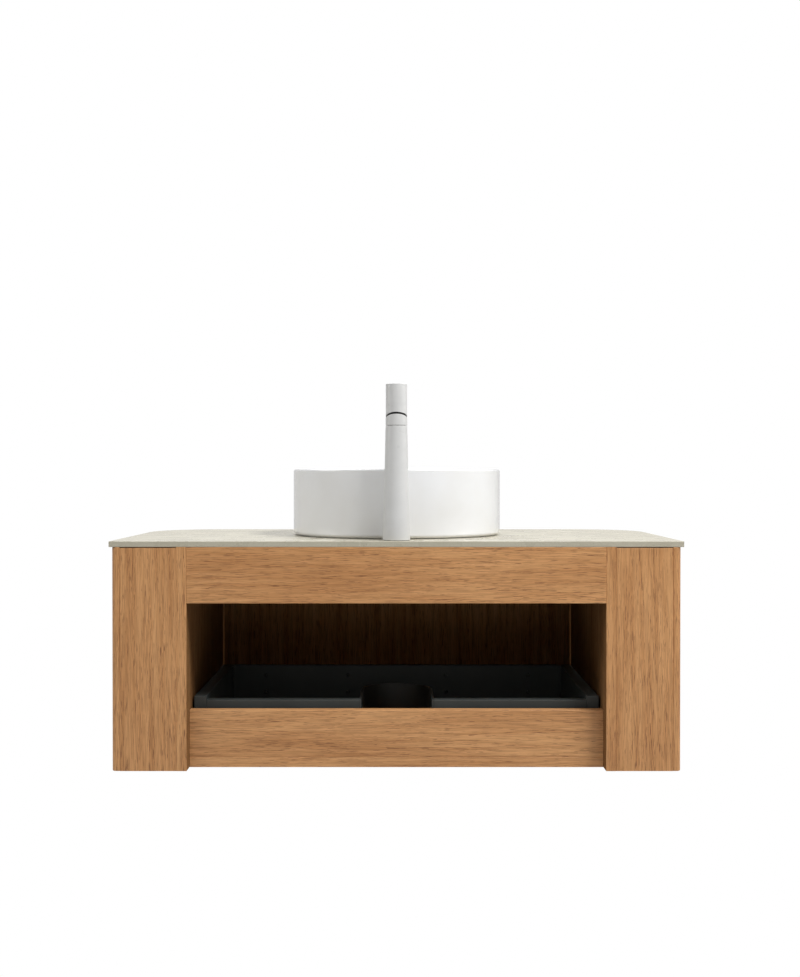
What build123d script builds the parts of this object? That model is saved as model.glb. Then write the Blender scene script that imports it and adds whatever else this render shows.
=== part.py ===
"""Wall-hung vanity with a round vessel basin, a tall mixer and one drawer.

Millimetres. The wall is the plane Y = 0 and the room is on its -Y side, +Z is up and X = 0 is the
middle. The origin is the centre of the top back rail's wall face. Left and right are those of a
person who stands in the room and faces the vanity.
"""

import os
from math import radians, tan

from build123d import *

os.makedirs("parts", exist_ok=True)

# Overall
WIDTH = 1000.0
DEPTH = 500.0
HEIGHT = 400.0  # foot of the columns to the top of the counter

# Counter
COUNTER_T = 10.0
COUNTER_CORNER_R = 130.0
COUNTER_ARRIS = 0.8
OVERHANG = 5.0  # counter past the columns, at the sides and the front

# Columns
COLUMN_W = 130.0
SHELL_T = 14.0
BOARD_T = 18.0
BACK_ARRIS_R = 8.0
SHADOW_GAP = 1.5  # column back below the counter
EDGE = 0.6  # broken edge of every board

# Rails
TOP_RAIL_H = 98.0
LOWER_RAIL_H = 83.0
LOWER_RAIL_SETBACK = 30.0
FRONT_RAIL_H = 70.0
FRONT_RAIL_SETBACK = 30.0  # room for fingers behind the drawer front

# Drawer front
FRONT_T = 22.0
FRONT_SETBACK = 30.0  # behind the column fronts
FRONT_SIDE_GAP = 4.0
FRONT_FOOT_GAP = 3.0
FINGER_GAP = 20.0
FINGER_BEVEL = 12.0

# Drawer box
DRAWER_BACK_Y = -62.0
DRAWER_SIDE_GAP = 3.3
DRAWER_WALL_T = 22.0
INNER_FRONT_T = 16.0
DRAWER_FOOT_GAP = 6.0  # drawer sides to the bottom board
DRAWER_SIDE_H = 96.0
DRAWER_BACK_DROP = 7.0  # back below the top of the sides
FLOOR_LIFT = 14.0  # floor above the foot of the sides
FLOOR_T = 12.0
CUTOUT_R = 63.0
CUTOUT_REACH = 183.0  # from the drawer's back to the end of the cut-out
SURROUND_T = 4.0
BOARD_FRONT_GAP = 2.0  # bottom board to the drawer front

# Runners
RUNNER_BACK_GAP = 8.0
RUNNER_FRONT_GAP = 7.0
RUNNER_STEEL_T = 1.2
RUNNER_FOOT_GAP = 2.0
RUNNER_FLANGE_H = 24.0
CHANNEL_W = 28.0
CHANNEL_H = 10.0
CHANNEL_SIDE_GAP = 3.7  # channel to the drawer side's inner face
HOOD_GAP = 1.3  # drawer member to the channel
MIDDLE_GAP = 1.2  # middle member to the channel
ROLLER_R = 3.4
ROLLER_GAP = 0.35
CLIP_REACH = 8.0
CLIP_L = 45.0
CLIP_RISE = 2.0
CLIP_CHAMFER = 2.0

# Dowels and screws
DOWEL_R = 4.0
DOWEL_IN_RAIL = 24.0
DOWEL_IN_SIDE = 12.0
SCREW_R = 3.5
SCREW_L = 50.0
SCREW_HEAD_R = 5.0
SCREW_HEAD_T = 3.0
HOLE_CLEAR = 0.05
END_GAP = 1.0  # dowel or screw tip to the bottom of its hole
RUNNER_SCREW_R = 1.75
RUNNER_SCREW_L = 13.0
RUNNER_SCREW_HEAD_R = 3.5
RUNNER_SCREW_HEAD_T = 1.1
FRONT_SCREW_R = 2.0
FRONT_SCREW_L = 30.0
FRONT_SCREW_HEAD_R = 4.0
FRONT_SCREW_HEAD_T = 2.5

# Basin
BASIN_R = 200.0
BASIN_TAP_GAP = 6.0
BASIN_H = 125.0
BASIN_WALL_T = 8.0
BASIN_INNER_TAPER = 4.0
BASIN_FLOOR_T = 16.0
BASIN_FALL = 3.0
BASIN_FOOT_R = 9.0
BASIN_BOWL_R = 42.0
BASIN_RECESS = 4.0
BASIN_RIM_ROUND = 3.6
FOOT_RING_W = 26.0
BOSS_R = 42.0
BEAD_T = 1.0
BEAD_W = 12.0

# Waste
WASTE_HOLE_R = 23.0
WASTE_THREAD_R = 20.6
WASTE_BORE_R = 17.0
WASTE_FLANGE_R = 31.0
WASTE_FLANGE_T = 2.5
WASTE_SEAL_T = 1.5
WASTE_SEAT_GAP = 3.0  # flange to the wall of its seat
WASTE_SEAT_DEPTH = 2.0
WASTE_SEAL_INSET = 2.0
WASTE_SEAL_GAP = 0.4
WASTE_BELOW = 45.0  # under the counter
SPIDER_DROP = 24.0
SPIDER_T = 3.0
SPIDER_PORTS = 6
LOWER_SEAL_T = 3.0
WASTE_NUT_R = 33.0
WASTE_NUT_H = 10.0
WASTE_NUT_CHAMFER = 1.5
RELIEF_GAP = 0.5  # nut to the run-out groove that ends the trap's thread
RELIEF_T = 1.5
RELIEF_DEPTH = 1.0
CLICK_R = 7.0
CLICK_BORE_R = 3.6
CLICK_H = 17.0
CLICK_TAIL_R = 4.0
CLICK_TAIL_H = 8.0
CLICK_TAIL_FLOOR = 3.0
PLUG_R = 30.0
PLUG_T = 4.0
PLUG_EDGE_T = 1.6
PLUG_REST_GAP = 0.4
PLUG_STEM_R = 3.2
PLUG_STEM_L = 18.0
PLUG_SEAL_R = 16.0
PLUG_SEAL_T = 2.0

# Mixer, heights above the counter
TAP_Y = -38.5
TAP_HOLE_R = 17.5
TAP_SEAL_T = 0.6
TAP_SEAL_INSET = 1.0
TAP_BASE_R = 24.5
TAP_MID_R = 21.5
TAP_TOP_R = 19.2
TAP_BODY_H = 202.0
TAP_BORE_R = 15.2
SEAT_H = 184.0
SEAT_T = 4.0
SEAT_PORT_R = 2.6
SEAT_PORT_RING = 7.0
INSERT_H = 22.0
HOSE_THREAD_R = 4.5
HOSE_SPREAD = 6.5
HOSE_SHIFT = -2.5
STUD_R = 3.9
STUD_SHIFT = 8.5
STUD_IN_INSERT = 14.0
STUD_BELOW = 52.0
STUD_CHAMFER = 0.8
HORSESHOE_R = 25.0
HORSESHOE_RAIL_GAP = 1.0
HORSESHOE_SLOT_R = 11.5
HORSESHOE_T = 2.5
HORSESHOE_STUD_GAP = 0.2
HORSESHOE_PAD_T = 3.0
STUD_NUT_R = 7.5
STUD_NUT_H = 12.0
SPOUT_H = 168.0
SPOUT_R = 12.0
SPOUT_WALL = 2.5
SPOUT_REACH = 155.0
SPOUT_ROOT = 13.0
SPOUT_END_R = 3.0
AERATOR_BACK = 15.0  # from the spout's end to the aerator's axis
AERATOR_R = 8.5
AERATOR_DROP = 4.0
AERATOR_H = 12.0
AERATOR_JET_R = 0.8
AERATOR_LIP = 1.5
AERATOR_RINGS = ((0.0, 1), (2.4, 6), (4.8, 12))  # ring radius, jets

# Cartridge, collar and handle
CARTRIDGE_R = 12.8
CARTRIDGE_NECK_R = 10.8
CARTRIDGE_SHOULDER_H = 197.0
CARTRIDGE_TOP_H = 212.0
CARTRIDGE_WELL_R = 9.0
CARTRIDGE_WELL_H = 204.0
NUT_R = 14.9
NUT_TOP_H = 203.0
COLLAR_GAP = 0.8
COLLAR_BORE_R = 15.8
SLANT_DEG = 22.5
SLANT_H = 214.7  # the collar's slanted top, on the axis
SLIT = 2.4
PIVOT_H = 209.0
DOME_R = 15.7
DOME_FOOT_H = 203.6
DOME_SLOT_REACH = 11.0  # the stem's slot towards the room
NECK_GAP = 0.6
ROTOR_R = 8.6
ROTOR_TOP_H = 216.0
ROTOR_GAP = 0.4
ROTOR_FLOOR_T = 1.2
STEM_W = 6.0
STEM_SLOT_GAP = 0.6
STEM_FOOT_H = 207.0
STEM_TOP_H = 250.0
PIN_R = 1.5
PIN_L = 14.0
HANDLE_R = 18.8
HANDLE_TOP_H = 275.5
HANDLE_WALL = 3.4
HANDLE_TOP_T = 4.0
HANDLE_BOSS_R = 9.0
HANDLE_CUP_R = 16.4
HANDLE_CAVITY_H = 228.0
GRUB_R = 2.5
GRUB_L = 7.0
GRUB_H = 238.0
GRUB_HEX_R = 1.4
GRUB_HEX_DEPTH = 2.5
INDEX_PLUG_T = 2.0
INDEX_PLUG_INSET = 0.3

# Places that follow from the sizes
SIDES = (("left", -1), ("right", 1))
UNDER_Z = TOP_RAIL_H / 2
TOP_Z = UNDER_Z + COUNTER_T
FOOT_Z = TOP_Z - HEIGHT
CARCASS_H = UNDER_Z - FOOT_Z
OUT_X = WIDTH / 2 - OVERHANG
IN_X = OUT_X - COLUMN_W
FRONT_Y = OVERHANG - DEPTH
CAVITY_X = (IN_X + BOARD_T, OUT_X - SHELL_T)
FRONT_BACK_Y = FRONT_Y + FRONT_SETBACK + FRONT_T  # inside face of the drawer front
INNER_FRONT_Y = FRONT_BACK_Y + INNER_FRONT_T
BOARD_TOP_Z = FOOT_Z + BOARD_T
DRAWER_OUT_X = IN_X - DRAWER_SIDE_GAP
DRAWER_IN_X = DRAWER_OUT_X - DRAWER_WALL_T
DRAWER_FOOT_Z = BOARD_TOP_Z + DRAWER_FOOT_GAP
DRAWER_TOP_Z = DRAWER_FOOT_Z + DRAWER_SIDE_H
DRAWER_BACK_TOP_Z = DRAWER_TOP_Z - DRAWER_BACK_DROP
FLOOR_Z = DRAWER_FOOT_Z + FLOOR_LIFT
CUTOUT_Y = DRAWER_BACK_Y - CUTOUT_REACH + CUTOUT_R  # centre of the cut-out's round end
FRONT_RAIL_Y = FRONT_BACK_Y + FRONT_RAIL_SETBACK
BASIN_Y = TAP_Y - TAP_BASE_R - BASIN_TAP_GAP - BASIN_R
BASIN_Z = TOP_Z + BEAD_T
WASTE_SEAT_Z = BASIN_Z + BASIN_FLOOR_T - BASIN_FALL - WASTE_SEAT_DEPTH
WASTE_FLANGE_Z = WASTE_SEAT_Z + WASTE_SEAL_T
WASTE_TOP_Z = WASTE_FLANGE_Z + WASTE_FLANGE_T
WASTE_FOOT_Z = UNDER_Z - WASTE_BELOW
SLANT = tan(radians(SLANT_DEG))
RUNNER_Z = BOARD_TOP_Z + RUNNER_FOOT_GAP
RUNNER_BACK_Y = DRAWER_BACK_Y - RUNNER_BACK_GAP
RUNNER_L = RUNNER_BACK_Y - INNER_FRONT_Y - RUNNER_FRONT_GAP
CHANNEL_OUT_X = DRAWER_IN_X - CHANNEL_SIDE_GAP
CHANNEL_IN_X = CHANNEL_OUT_X - CHANNEL_W
RUNNER_Y = (RUNNER_BACK_Y - RUNNER_L, RUNNER_BACK_Y)
CHANNEL_TOP_Z = RUNNER_Z + RUNNER_STEEL_T + CHANNEL_H
HOOD_X = (CHANNEL_IN_X - HOOD_GAP, CHANNEL_OUT_X + HOOD_GAP)
MIDDLE_X = (CHANNEL_IN_X + RUNNER_STEEL_T + MIDDLE_GAP, CHANNEL_OUT_X - RUNNER_STEEL_T - MIDDLE_GAP)
LOWER_ROLLER_Z = RUNNER_Z + RUNNER_STEEL_T + ROLLER_GAP + ROLLER_R
MIDDLE_WEB_Z = LOWER_ROLLER_Z + ROLLER_R
UPPER_ROLLER_Z = FLOOR_Z - RUNNER_STEEL_T - ROLLER_GAP - ROLLER_R
ROLLER_YS = [RUNNER_BACK_Y - share * RUNNER_L for share in (0.06, 0.35, 0.65, 0.94)]

# Joints between the rails and the column inner sides, as (y, z) at each rail end
TOP_RAIL_DOWELS = [(-BOARD_T / 2, z) for z in (-0.3 * TOP_RAIL_H, 0, 0.3 * TOP_RAIL_H)]
TOP_RAIL_SCREWS = [(-BOARD_T / 2, z) for z in (-0.15 * TOP_RAIL_H, 0.15 * TOP_RAIL_H)]
LOWER_RAIL_Y = -LOWER_RAIL_SETBACK - BOARD_T / 2
LOWER_RAIL_DOWELS = [(LOWER_RAIL_Y, BOARD_TOP_Z + share * LOWER_RAIL_H) for share in (0.25, 0.75)]
BOARD_SPAN = -FRONT_BACK_Y - LOWER_RAIL_SETBACK
BOARD_DOWELS = [(-LOWER_RAIL_SETBACK - s * BOARD_SPAN, FOOT_Z + BOARD_T / 2) for s in (0.2, 0.5, 0.8)]
BOARD_SCREWS = [(-LOWER_RAIL_SETBACK - s * BOARD_SPAN, FOOT_Z + BOARD_T / 2) for s in (0.35, 0.65)]
FRONT_RAIL_MID_Y = FRONT_RAIL_Y + BOARD_T / 2
FRONT_RAIL_DOWELS = [(FRONT_RAIL_MID_Y, UNDER_Z - share * FRONT_RAIL_H) for share in (0.25, 0.75)]
ALL_DOWELS = TOP_RAIL_DOWELS + LOWER_RAIL_DOWELS + BOARD_DOWELS + FRONT_RAIL_DOWELS
ALL_SCREWS = TOP_RAIL_SCREWS + BOARD_SCREWS
RUNNER_SCREWS = [
    (RUNNER_BACK_Y - share * RUNNER_L, RUNNER_Z + 0.6 * RUNNER_FLANGE_H) for share in (0.1, 0.5, 0.9)
]
FRONT_SCREWS = [
    (share * DRAWER_IN_X, DRAWER_FOOT_Z + rise * DRAWER_SIDE_H)
    for share in (-0.8, -0.3, 0.3, 0.8)
    for rise in (0.43, 0.79)
]


def save(piece, label):
    """Label a finished piece and write its STEP file."""
    piece.part.label = label
    export_step(piece.part, f"parts/{label}.step")


def block(x, y, z, mode=Mode.ADD):
    """Add a block that spans the given (low, high) pairs to the part being built."""
    with Locations(((x[0] + x[1]) / 2, (y[0] + y[1]) / 2, (z[0] + z[1]) / 2)):
        Box(abs(x[1] - x[0]), abs(y[1] - y[0]), abs(z[1] - z[0]), mode=mode)


def mirrored(sign, low, high):
    """Give the X span of a piece that stands between two distances from the middle."""
    return sorted((sign * low, sign * high))


def turn(points, y, mode=Mode.ADD):
    """Revolve an outline of (radius, z) points about the vertical axis at y."""
    with BuildSketch(Plane.XZ.offset(-y), mode=Mode.PRIVATE) as profile:
        with BuildLine():
            Polyline(*points, close=True)
        make_face()
    revolve(profile.sketch, axis=Axis((0, y, 0), (0, 0, 1)), mode=mode)


def rod(radius, x0, x1, points, mode=Mode.ADD):
    """Add round rods along X from x0 to x1 at each (y, z) point."""
    with Locations(*[((x0 + x1) / 2, y, z) for y, z in points]):
        Cylinder(radius, abs(x1 - x0), rotation=(0, 90, 0), mode=mode)


def carcass_plan(inset):
    """Sketch the carcass outline, moved in by inset at the sides and the front."""
    with BuildSketch(mode=Mode.PRIVATE) as plan:
        Rectangle(2 * (OUT_X - inset), -FRONT_Y - inset, align=(Align.CENTER, Align.MAX))
        fillet(plan.vertices().group_by(Axis.Y)[0], COUNTER_CORNER_R - OVERHANG - inset)
    return plan.sketch


def cutout_plan(radius, back_y):
    """Sketch the siphon cut-out: straight from back_y, then a half round."""
    with BuildSketch(mode=Mode.PRIVATE) as plan:
        with Locations((0, CUTOUT_Y)):
            Circle(radius)
            Rectangle(2 * radius, back_y - CUTOUT_Y, align=(Align.CENTER, Align.MIN))
    return plan.sketch


def joint_holes(dowels, screws):
    """Bore the holes of the dowels and screws at both ends of the carcass."""
    for _, sign in SIDES:
        dowel_span = (sign * (IN_X - DOWEL_IN_RAIL), sign * (IN_X + DOWEL_IN_SIDE))
        rod(DOWEL_R + HOLE_CLEAR, *dowel_span, dowels, mode=Mode.SUBTRACT)
        if screws:
            head_x = sign * (IN_X + BOARD_T)
            rod(SCREW_R + HOLE_CLEAR, head_x, head_x - sign * SCREW_L, screws, mode=Mode.SUBTRACT)


# Counter

with BuildPart() as countertop:
    with BuildSketch(Plane.XY.offset(UNDER_Z)) as counter_plan:
        Rectangle(WIDTH, DEPTH, align=(Align.CENTER, Align.MAX))
        fillet(counter_plan.vertices().group_by(Axis.Y)[0], COUNTER_CORNER_R)
        with Locations((0, BASIN_Y)):
            Circle(WASTE_HOLE_R, mode=Mode.SUBTRACT)
        with Locations((0, TAP_Y)):
            Circle(TAP_HOLE_R, mode=Mode.SUBTRACT)
    extrude(amount=COUNTER_T)
    chamfer(countertop.faces().sort_by(Axis.Z)[-1].outer_wire().edges(), COUNTER_ARRIS)
    chamfer(countertop.faces().sort_by(Axis.Z)[0].outer_wire().edges(), COUNTER_ARRIS)
save(countertop, "countertop")

# Columns

for side, sign in SIDES:
    with BuildPart() as column_shell:
        with BuildSketch(Plane.XY.offset(FOOT_Z)) as shell_plan:
            add(carcass_plan(0))
            fillet(shell_plan.vertices().group_by(Axis.Y)[-1], BACK_ARRIS_R)
            add(carcass_plan(SHELL_T), mode=Mode.SUBTRACT)
            with Locations((sign * (IN_X + OUT_X) / 2, 0)):
                Rectangle(COLUMN_W, 3 * DEPTH, mode=Mode.INTERSECT)
        extrude(amount=CARCASS_H)
    save(column_shell, f"column_shell_{side}")

    with BuildPart() as column_inner_side:
        with BuildSketch(Plane.XY.offset(FOOT_Z)):
            add(carcass_plan(SHELL_T))
            with Locations((sign * (IN_X + BOARD_T / 2), 0)):
                Rectangle(BOARD_T, 3 * DEPTH, mode=Mode.INTERSECT)
        extrude(amount=CARCASS_H)
        chamfer(column_inner_side.edges().filter_by(Axis.Z).group_by(Axis.Y)[-1], EDGE)
        joint_holes(ALL_DOWELS, ALL_SCREWS)
        head_x = sign * (IN_X + BOARD_T)
        rod(
            SCREW_HEAD_R + HOLE_CLEAR,
            head_x,
            head_x - sign * SCREW_HEAD_T,
            ALL_SCREWS,
            mode=Mode.SUBTRACT,
        )
        rod(
            RUNNER_SCREW_R + HOLE_CLEAR,
            sign * IN_X,
            sign * (IN_X + RUNNER_SCREW_L),
            RUNNER_SCREWS,
            mode=Mode.SUBTRACT,
        )
    save(column_inner_side, f"column_inner_side_{side}")

    with BuildPart() as column_back:
        block(mirrored(sign, *CAVITY_X), (-BOARD_T, 0), (FOOT_Z, UNDER_Z - SHADOW_GAP))
        chamfer(column_back.faces().sort_by(Axis.Y)[-1].edges(), EDGE / 2)
    save(column_back, f"column_back_{side}")

for label, low_z in (("column_bases", FOOT_Z), ("column_tops", UNDER_Z - BOARD_T)):
    with BuildPart() as column_ends:
        with BuildSketch(mode=Mode.PRIVATE) as cavities:
            with Locations(*[(sign * sum(CAVITY_X) / 2, -BOARD_T) for _, sign in SIDES]):
                Rectangle(CAVITY_X[1] - CAVITY_X[0], 3 * DEPTH, align=(Align.CENTER, Align.MAX))
        with BuildSketch(Plane.XY.offset(low_z)):
            add(carcass_plan(SHELL_T))
            add(cavities.sketch, mode=Mode.INTERSECT)
        extrude(amount=BOARD_T)
    save(column_ends, label)

# Rails and bottom board

with BuildPart() as top_back_rail:
    block((-IN_X, IN_X), (-BOARD_T, 0), (-TOP_RAIL_H / 2, TOP_RAIL_H / 2))
    chamfer(top_back_rail.edges(), EDGE)
    joint_holes(TOP_RAIL_DOWELS, TOP_RAIL_SCREWS)
save(top_back_rail, "top_back_rail")

with BuildPart() as lower_back_rail:
    block(
        (-IN_X, IN_X),
        (-LOWER_RAIL_SETBACK - BOARD_T, -LOWER_RAIL_SETBACK),
        (BOARD_TOP_Z, BOARD_TOP_Z + LOWER_RAIL_H),
    )
    chamfer(lower_back_rail.edges(), EDGE)
    joint_holes(LOWER_RAIL_DOWELS, [])
save(lower_back_rail, "lower_back_rail")

with BuildPart() as bottom_board:
    block(
        (-IN_X, IN_X),
        (FRONT_BACK_Y + BOARD_FRONT_GAP, -LOWER_RAIL_SETBACK),
        (FOOT_Z, BOARD_TOP_Z),
    )
    chamfer(bottom_board.edges(), EDGE)
    joint_holes(BOARD_DOWELS, BOARD_SCREWS)
save(bottom_board, "bottom_board")

with BuildPart() as front_top_rail:
    block((-IN_X, IN_X), (FRONT_RAIL_Y, FRONT_RAIL_Y + BOARD_T), (UNDER_Z - FRONT_RAIL_H, UNDER_Z))
    chamfer(front_top_rail.edges(), EDGE)
    joint_holes(FRONT_RAIL_DOWELS, [])
save(front_top_rail, "front_top_rail")

with BuildPart() as dowels:
    for _, sign in SIDES:
        rod(
            DOWEL_R,
            sign * (IN_X - DOWEL_IN_RAIL + END_GAP),
            sign * (IN_X + DOWEL_IN_SIDE - END_GAP),
            ALL_DOWELS,
        )
save(dowels, "dowels")

with BuildPart() as carcass_screws:
    for _, sign in SIDES:
        head_x = sign * (IN_X + BOARD_T)
        rod(SCREW_R, head_x, head_x - sign * (SCREW_L - END_GAP), ALL_SCREWS)
        rod(SCREW_HEAD_R, head_x, head_x - sign * SCREW_HEAD_T, ALL_SCREWS)
save(carcass_screws, "carcass_screws")

# Drawer

for side, sign in SIDES:
    with BuildPart() as drawer_side:
        block(
            mirrored(sign, DRAWER_IN_X, DRAWER_OUT_X),
            (INNER_FRONT_Y, DRAWER_BACK_Y),
            (DRAWER_FOOT_Z, DRAWER_TOP_Z),
        )
        chamfer(drawer_side.edges(), EDGE)
    save(drawer_side, f"drawer_side_{side}")

    with BuildPart() as drawer_back:
        block(
            mirrored(sign, CUTOUT_R + SURROUND_T, DRAWER_IN_X),
            (DRAWER_BACK_Y - DRAWER_WALL_T, DRAWER_BACK_Y),
            (FLOOR_Z, DRAWER_BACK_TOP_Z),
        )
        chamfer(drawer_back.edges(), EDGE)
    save(drawer_back, f"drawer_back_{side}")

with BuildPart() as drawer_inner_front:
    block(
        (-DRAWER_OUT_X, DRAWER_OUT_X),
        (FRONT_BACK_Y, INNER_FRONT_Y),
        (DRAWER_FOOT_Z, DRAWER_TOP_Z),
    )
    chamfer(drawer_inner_front.edges(), EDGE)
    with Locations(*[(x, (FRONT_BACK_Y + INNER_FRONT_Y) / 2, z) for x, z in FRONT_SCREWS]):
        Cylinder(
            FRONT_SCREW_R + HOLE_CLEAR, INNER_FRONT_T, rotation=(90, 0, 0), mode=Mode.SUBTRACT
        )
save(drawer_inner_front, "drawer_inner_front")

with BuildPart() as drawer_floor:
    with BuildSketch(Plane.XY.offset(FLOOR_Z)):
        with Locations((0, DRAWER_BACK_Y - DRAWER_WALL_T)):
            Rectangle(
                2 * DRAWER_IN_X,
                DRAWER_BACK_Y - DRAWER_WALL_T - INNER_FRONT_Y,
                align=(Align.CENTER, Align.MAX),
            )
        add(cutout_plan(CUTOUT_R + SURROUND_T, DRAWER_BACK_Y), mode=Mode.SUBTRACT)
    extrude(amount=FLOOR_T)
save(drawer_floor, "drawer_floor")

with BuildPart() as siphon_surround:
    with BuildSketch(Plane.XY.offset(FLOOR_Z)):
        add(cutout_plan(CUTOUT_R + SURROUND_T, DRAWER_BACK_Y))
        add(cutout_plan(CUTOUT_R, DRAWER_BACK_Y), mode=Mode.SUBTRACT)
    extrude(amount=DRAWER_BACK_TOP_Z - FLOOR_Z)
    chamfer(siphon_surround.faces().sort_by(Axis.Z)[-1].edges(), EDGE)
save(siphon_surround, "siphon_surround")

with BuildPart() as drawer_front:
    block(
        (FRONT_SIDE_GAP - IN_X, IN_X - FRONT_SIDE_GAP),
        (FRONT_BACK_Y - FRONT_T, FRONT_BACK_Y),
        (FOOT_Z + FRONT_FOOT_GAP, UNDER_Z - FINGER_GAP),
    )
    finger_edge = drawer_front.edges().filter_by(Axis.X).group_by(Axis.Z)[-1].sort_by(Axis.Y)[-1]
    chamfer(finger_edge, FINGER_BEVEL)
    chamfer(drawer_front.faces().sort_by(Axis.Y)[0].edges(), EDGE)
    screw_reach = FRONT_SCREW_L - INNER_FRONT_T
    with Locations(*[(x, FRONT_BACK_Y - screw_reach / 2, z) for x, z in FRONT_SCREWS]):
        Cylinder(
            FRONT_SCREW_R + HOLE_CLEAR, screw_reach, rotation=(90, 0, 0), mode=Mode.SUBTRACT
        )
save(drawer_front, "drawer_front")

with BuildPart() as front_screws:
    shank_l = FRONT_SCREW_L - END_GAP
    with Locations(*[(x, INNER_FRONT_Y - shank_l / 2, z) for x, z in FRONT_SCREWS]):
        Cylinder(FRONT_SCREW_R, shank_l, rotation=(90, 0, 0))
    with Locations(*[(x, INNER_FRONT_Y + FRONT_SCREW_HEAD_T / 2, z) for x, z in FRONT_SCREWS]):
        Cylinder(FRONT_SCREW_HEAD_R, FRONT_SCREW_HEAD_T, rotation=(90, 0, 0))
save(front_screws, "front_screws")

# Runners, one channel section for the cabinet, one for the middle and one for the drawer

for side, sign in SIDES:
    with BuildPart() as runner_cabinet:
        block(
            mirrored(sign, IN_X - RUNNER_STEEL_T, IN_X), RUNNER_Y, (RUNNER_Z, RUNNER_Z + RUNNER_FLANGE_H)
        )
        block(mirrored(sign, CHANNEL_IN_X, IN_X), RUNNER_Y, (RUNNER_Z, RUNNER_Z + RUNNER_STEEL_T))
        for low_x in (CHANNEL_IN_X, CHANNEL_OUT_X - RUNNER_STEEL_T):
            block(mirrored(sign, low_x, low_x + RUNNER_STEEL_T), RUNNER_Y, (RUNNER_Z, CHANNEL_TOP_Z))
        rod(
            RUNNER_SCREW_R + HOLE_CLEAR,
            sign * (IN_X - RUNNER_STEEL_T),
            sign * IN_X,
            RUNNER_SCREWS,
            mode=Mode.SUBTRACT,
        )
    save(runner_cabinet, f"runner_cabinet_{side}")

    with BuildPart() as runner_middle:
        for low_x in (MIDDLE_X[0], MIDDLE_X[1] - RUNNER_STEEL_T):
            block(
                mirrored(sign, low_x, low_x + RUNNER_STEEL_T),
                RUNNER_Y,
                (RUNNER_Z + RUNNER_STEEL_T + ROLLER_GAP, FLOOR_Z - RUNNER_STEEL_T - ROLLER_GAP),
            )
        block(mirrored(sign, *MIDDLE_X), RUNNER_Y, (MIDDLE_WEB_Z, MIDDLE_WEB_Z + RUNNER_STEEL_T))
    save(runner_middle, f"runner_middle_{side}")

    with BuildPart() as runner_drawer:
        hood_foot_z = RUNNER_Z + RUNNER_STEEL_T + HOOD_GAP
        block(
            mirrored(sign, HOOD_X[0] - RUNNER_STEEL_T, HOOD_X[1] + RUNNER_STEEL_T),
            RUNNER_Y,
            (FLOOR_Z - RUNNER_STEEL_T, FLOOR_Z),
        )
        for low_x in (HOOD_X[0] - RUNNER_STEEL_T, HOOD_X[1]):
            block(mirrored(sign, low_x, low_x + RUNNER_STEEL_T), RUNNER_Y, (hood_foot_z, FLOOR_Z))
    save(runner_drawer, f"runner_drawer_{side}")

roller_x = (MIDDLE_X[0] + RUNNER_STEEL_T, MIDDLE_X[1] - RUNNER_STEEL_T)
with BuildPart() as runner_rollers:
    for _, sign in SIDES:
        rod(ROLLER_R, sign * roller_x[0], sign * roller_x[1], [(y, LOWER_ROLLER_Z) for y in ROLLER_YS])
        rod(ROLLER_R, sign * roller_x[0], sign * roller_x[1], [(y, UPPER_ROLLER_Z) for y in ROLLER_YS])
save(runner_rollers, "runner_rollers")

with BuildPart() as runner_screws:
    for _, sign in SIDES:
        head_x = sign * (IN_X - RUNNER_STEEL_T)
        rod(RUNNER_SCREW_R, head_x, sign * (IN_X + RUNNER_SCREW_L - END_GAP), RUNNER_SCREWS)
        rod(RUNNER_SCREW_HEAD_R, head_x - sign * RUNNER_SCREW_HEAD_T, head_x, RUNNER_SCREWS)
save(runner_screws, "runner_screws")

with BuildPart() as locking_clips:
    for _, sign in SIDES:
        block(
            mirrored(sign, HOOD_X[0] - CLIP_REACH, HOOD_X[0] - RUNNER_STEEL_T),
            (INNER_FRONT_Y, INNER_FRONT_Y + CLIP_L),
            (DRAWER_FOOT_Z + CLIP_RISE, FLOOR_Z),
        )
    chamfer(locking_clips.edges().filter_by(Axis.Z), CLIP_CHAMFER)
save(locking_clips, "locking_clips")

# Basin

bowl_z = BASIN_Z + BASIN_FLOOR_T
with BuildPart() as basin:
    with BuildSketch(Plane.XZ.offset(-BASIN_Y)) as basin_profile:
        rim_z = BASIN_Z + BASIN_H
        bowl_top_r = BASIN_R - BASIN_WALL_T
        bowl_foot_r = bowl_top_r - BASIN_INNER_TAPER
        foot_r = BASIN_R - FOOT_RING_W
        seat_r = WASTE_FLANGE_R + WASTE_SEAT_GAP
        with BuildLine():
            Polyline(
                (WASTE_HOLE_R, BASIN_Z),
                (BOSS_R, BASIN_Z),
                (BOSS_R + BASIN_RECESS, BASIN_Z + BASIN_RECESS),
                (foot_r - BASIN_RECESS, BASIN_Z + BASIN_RECESS),
                (foot_r, BASIN_Z),
                (BASIN_R, BASIN_Z),
                (BASIN_R, rim_z),
                (bowl_top_r, rim_z),
                (bowl_foot_r, bowl_z),
                (seat_r, bowl_z - BASIN_FALL),
                (seat_r - 1, WASTE_SEAT_Z),
                (WASTE_HOLE_R, WASTE_SEAT_Z),
                close=True,
            )
        make_face()
        corners = basin_profile.vertices()
        fillet(corners.sort_by_distance((BASIN_R, BASIN_Z))[0], BASIN_FOOT_R)
        fillet(corners.sort_by_distance((bowl_foot_r, bowl_z))[0], BASIN_BOWL_R)
        fillet(corners.sort_by_distance((BASIN_R, rim_z))[0], BASIN_RIM_ROUND)
        fillet(corners.sort_by_distance((bowl_top_r, rim_z))[0], BASIN_RIM_ROUND)
    revolve(axis=Axis((0, BASIN_Y, 0), (0, 0, 1)))
save(basin, "basin")

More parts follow.
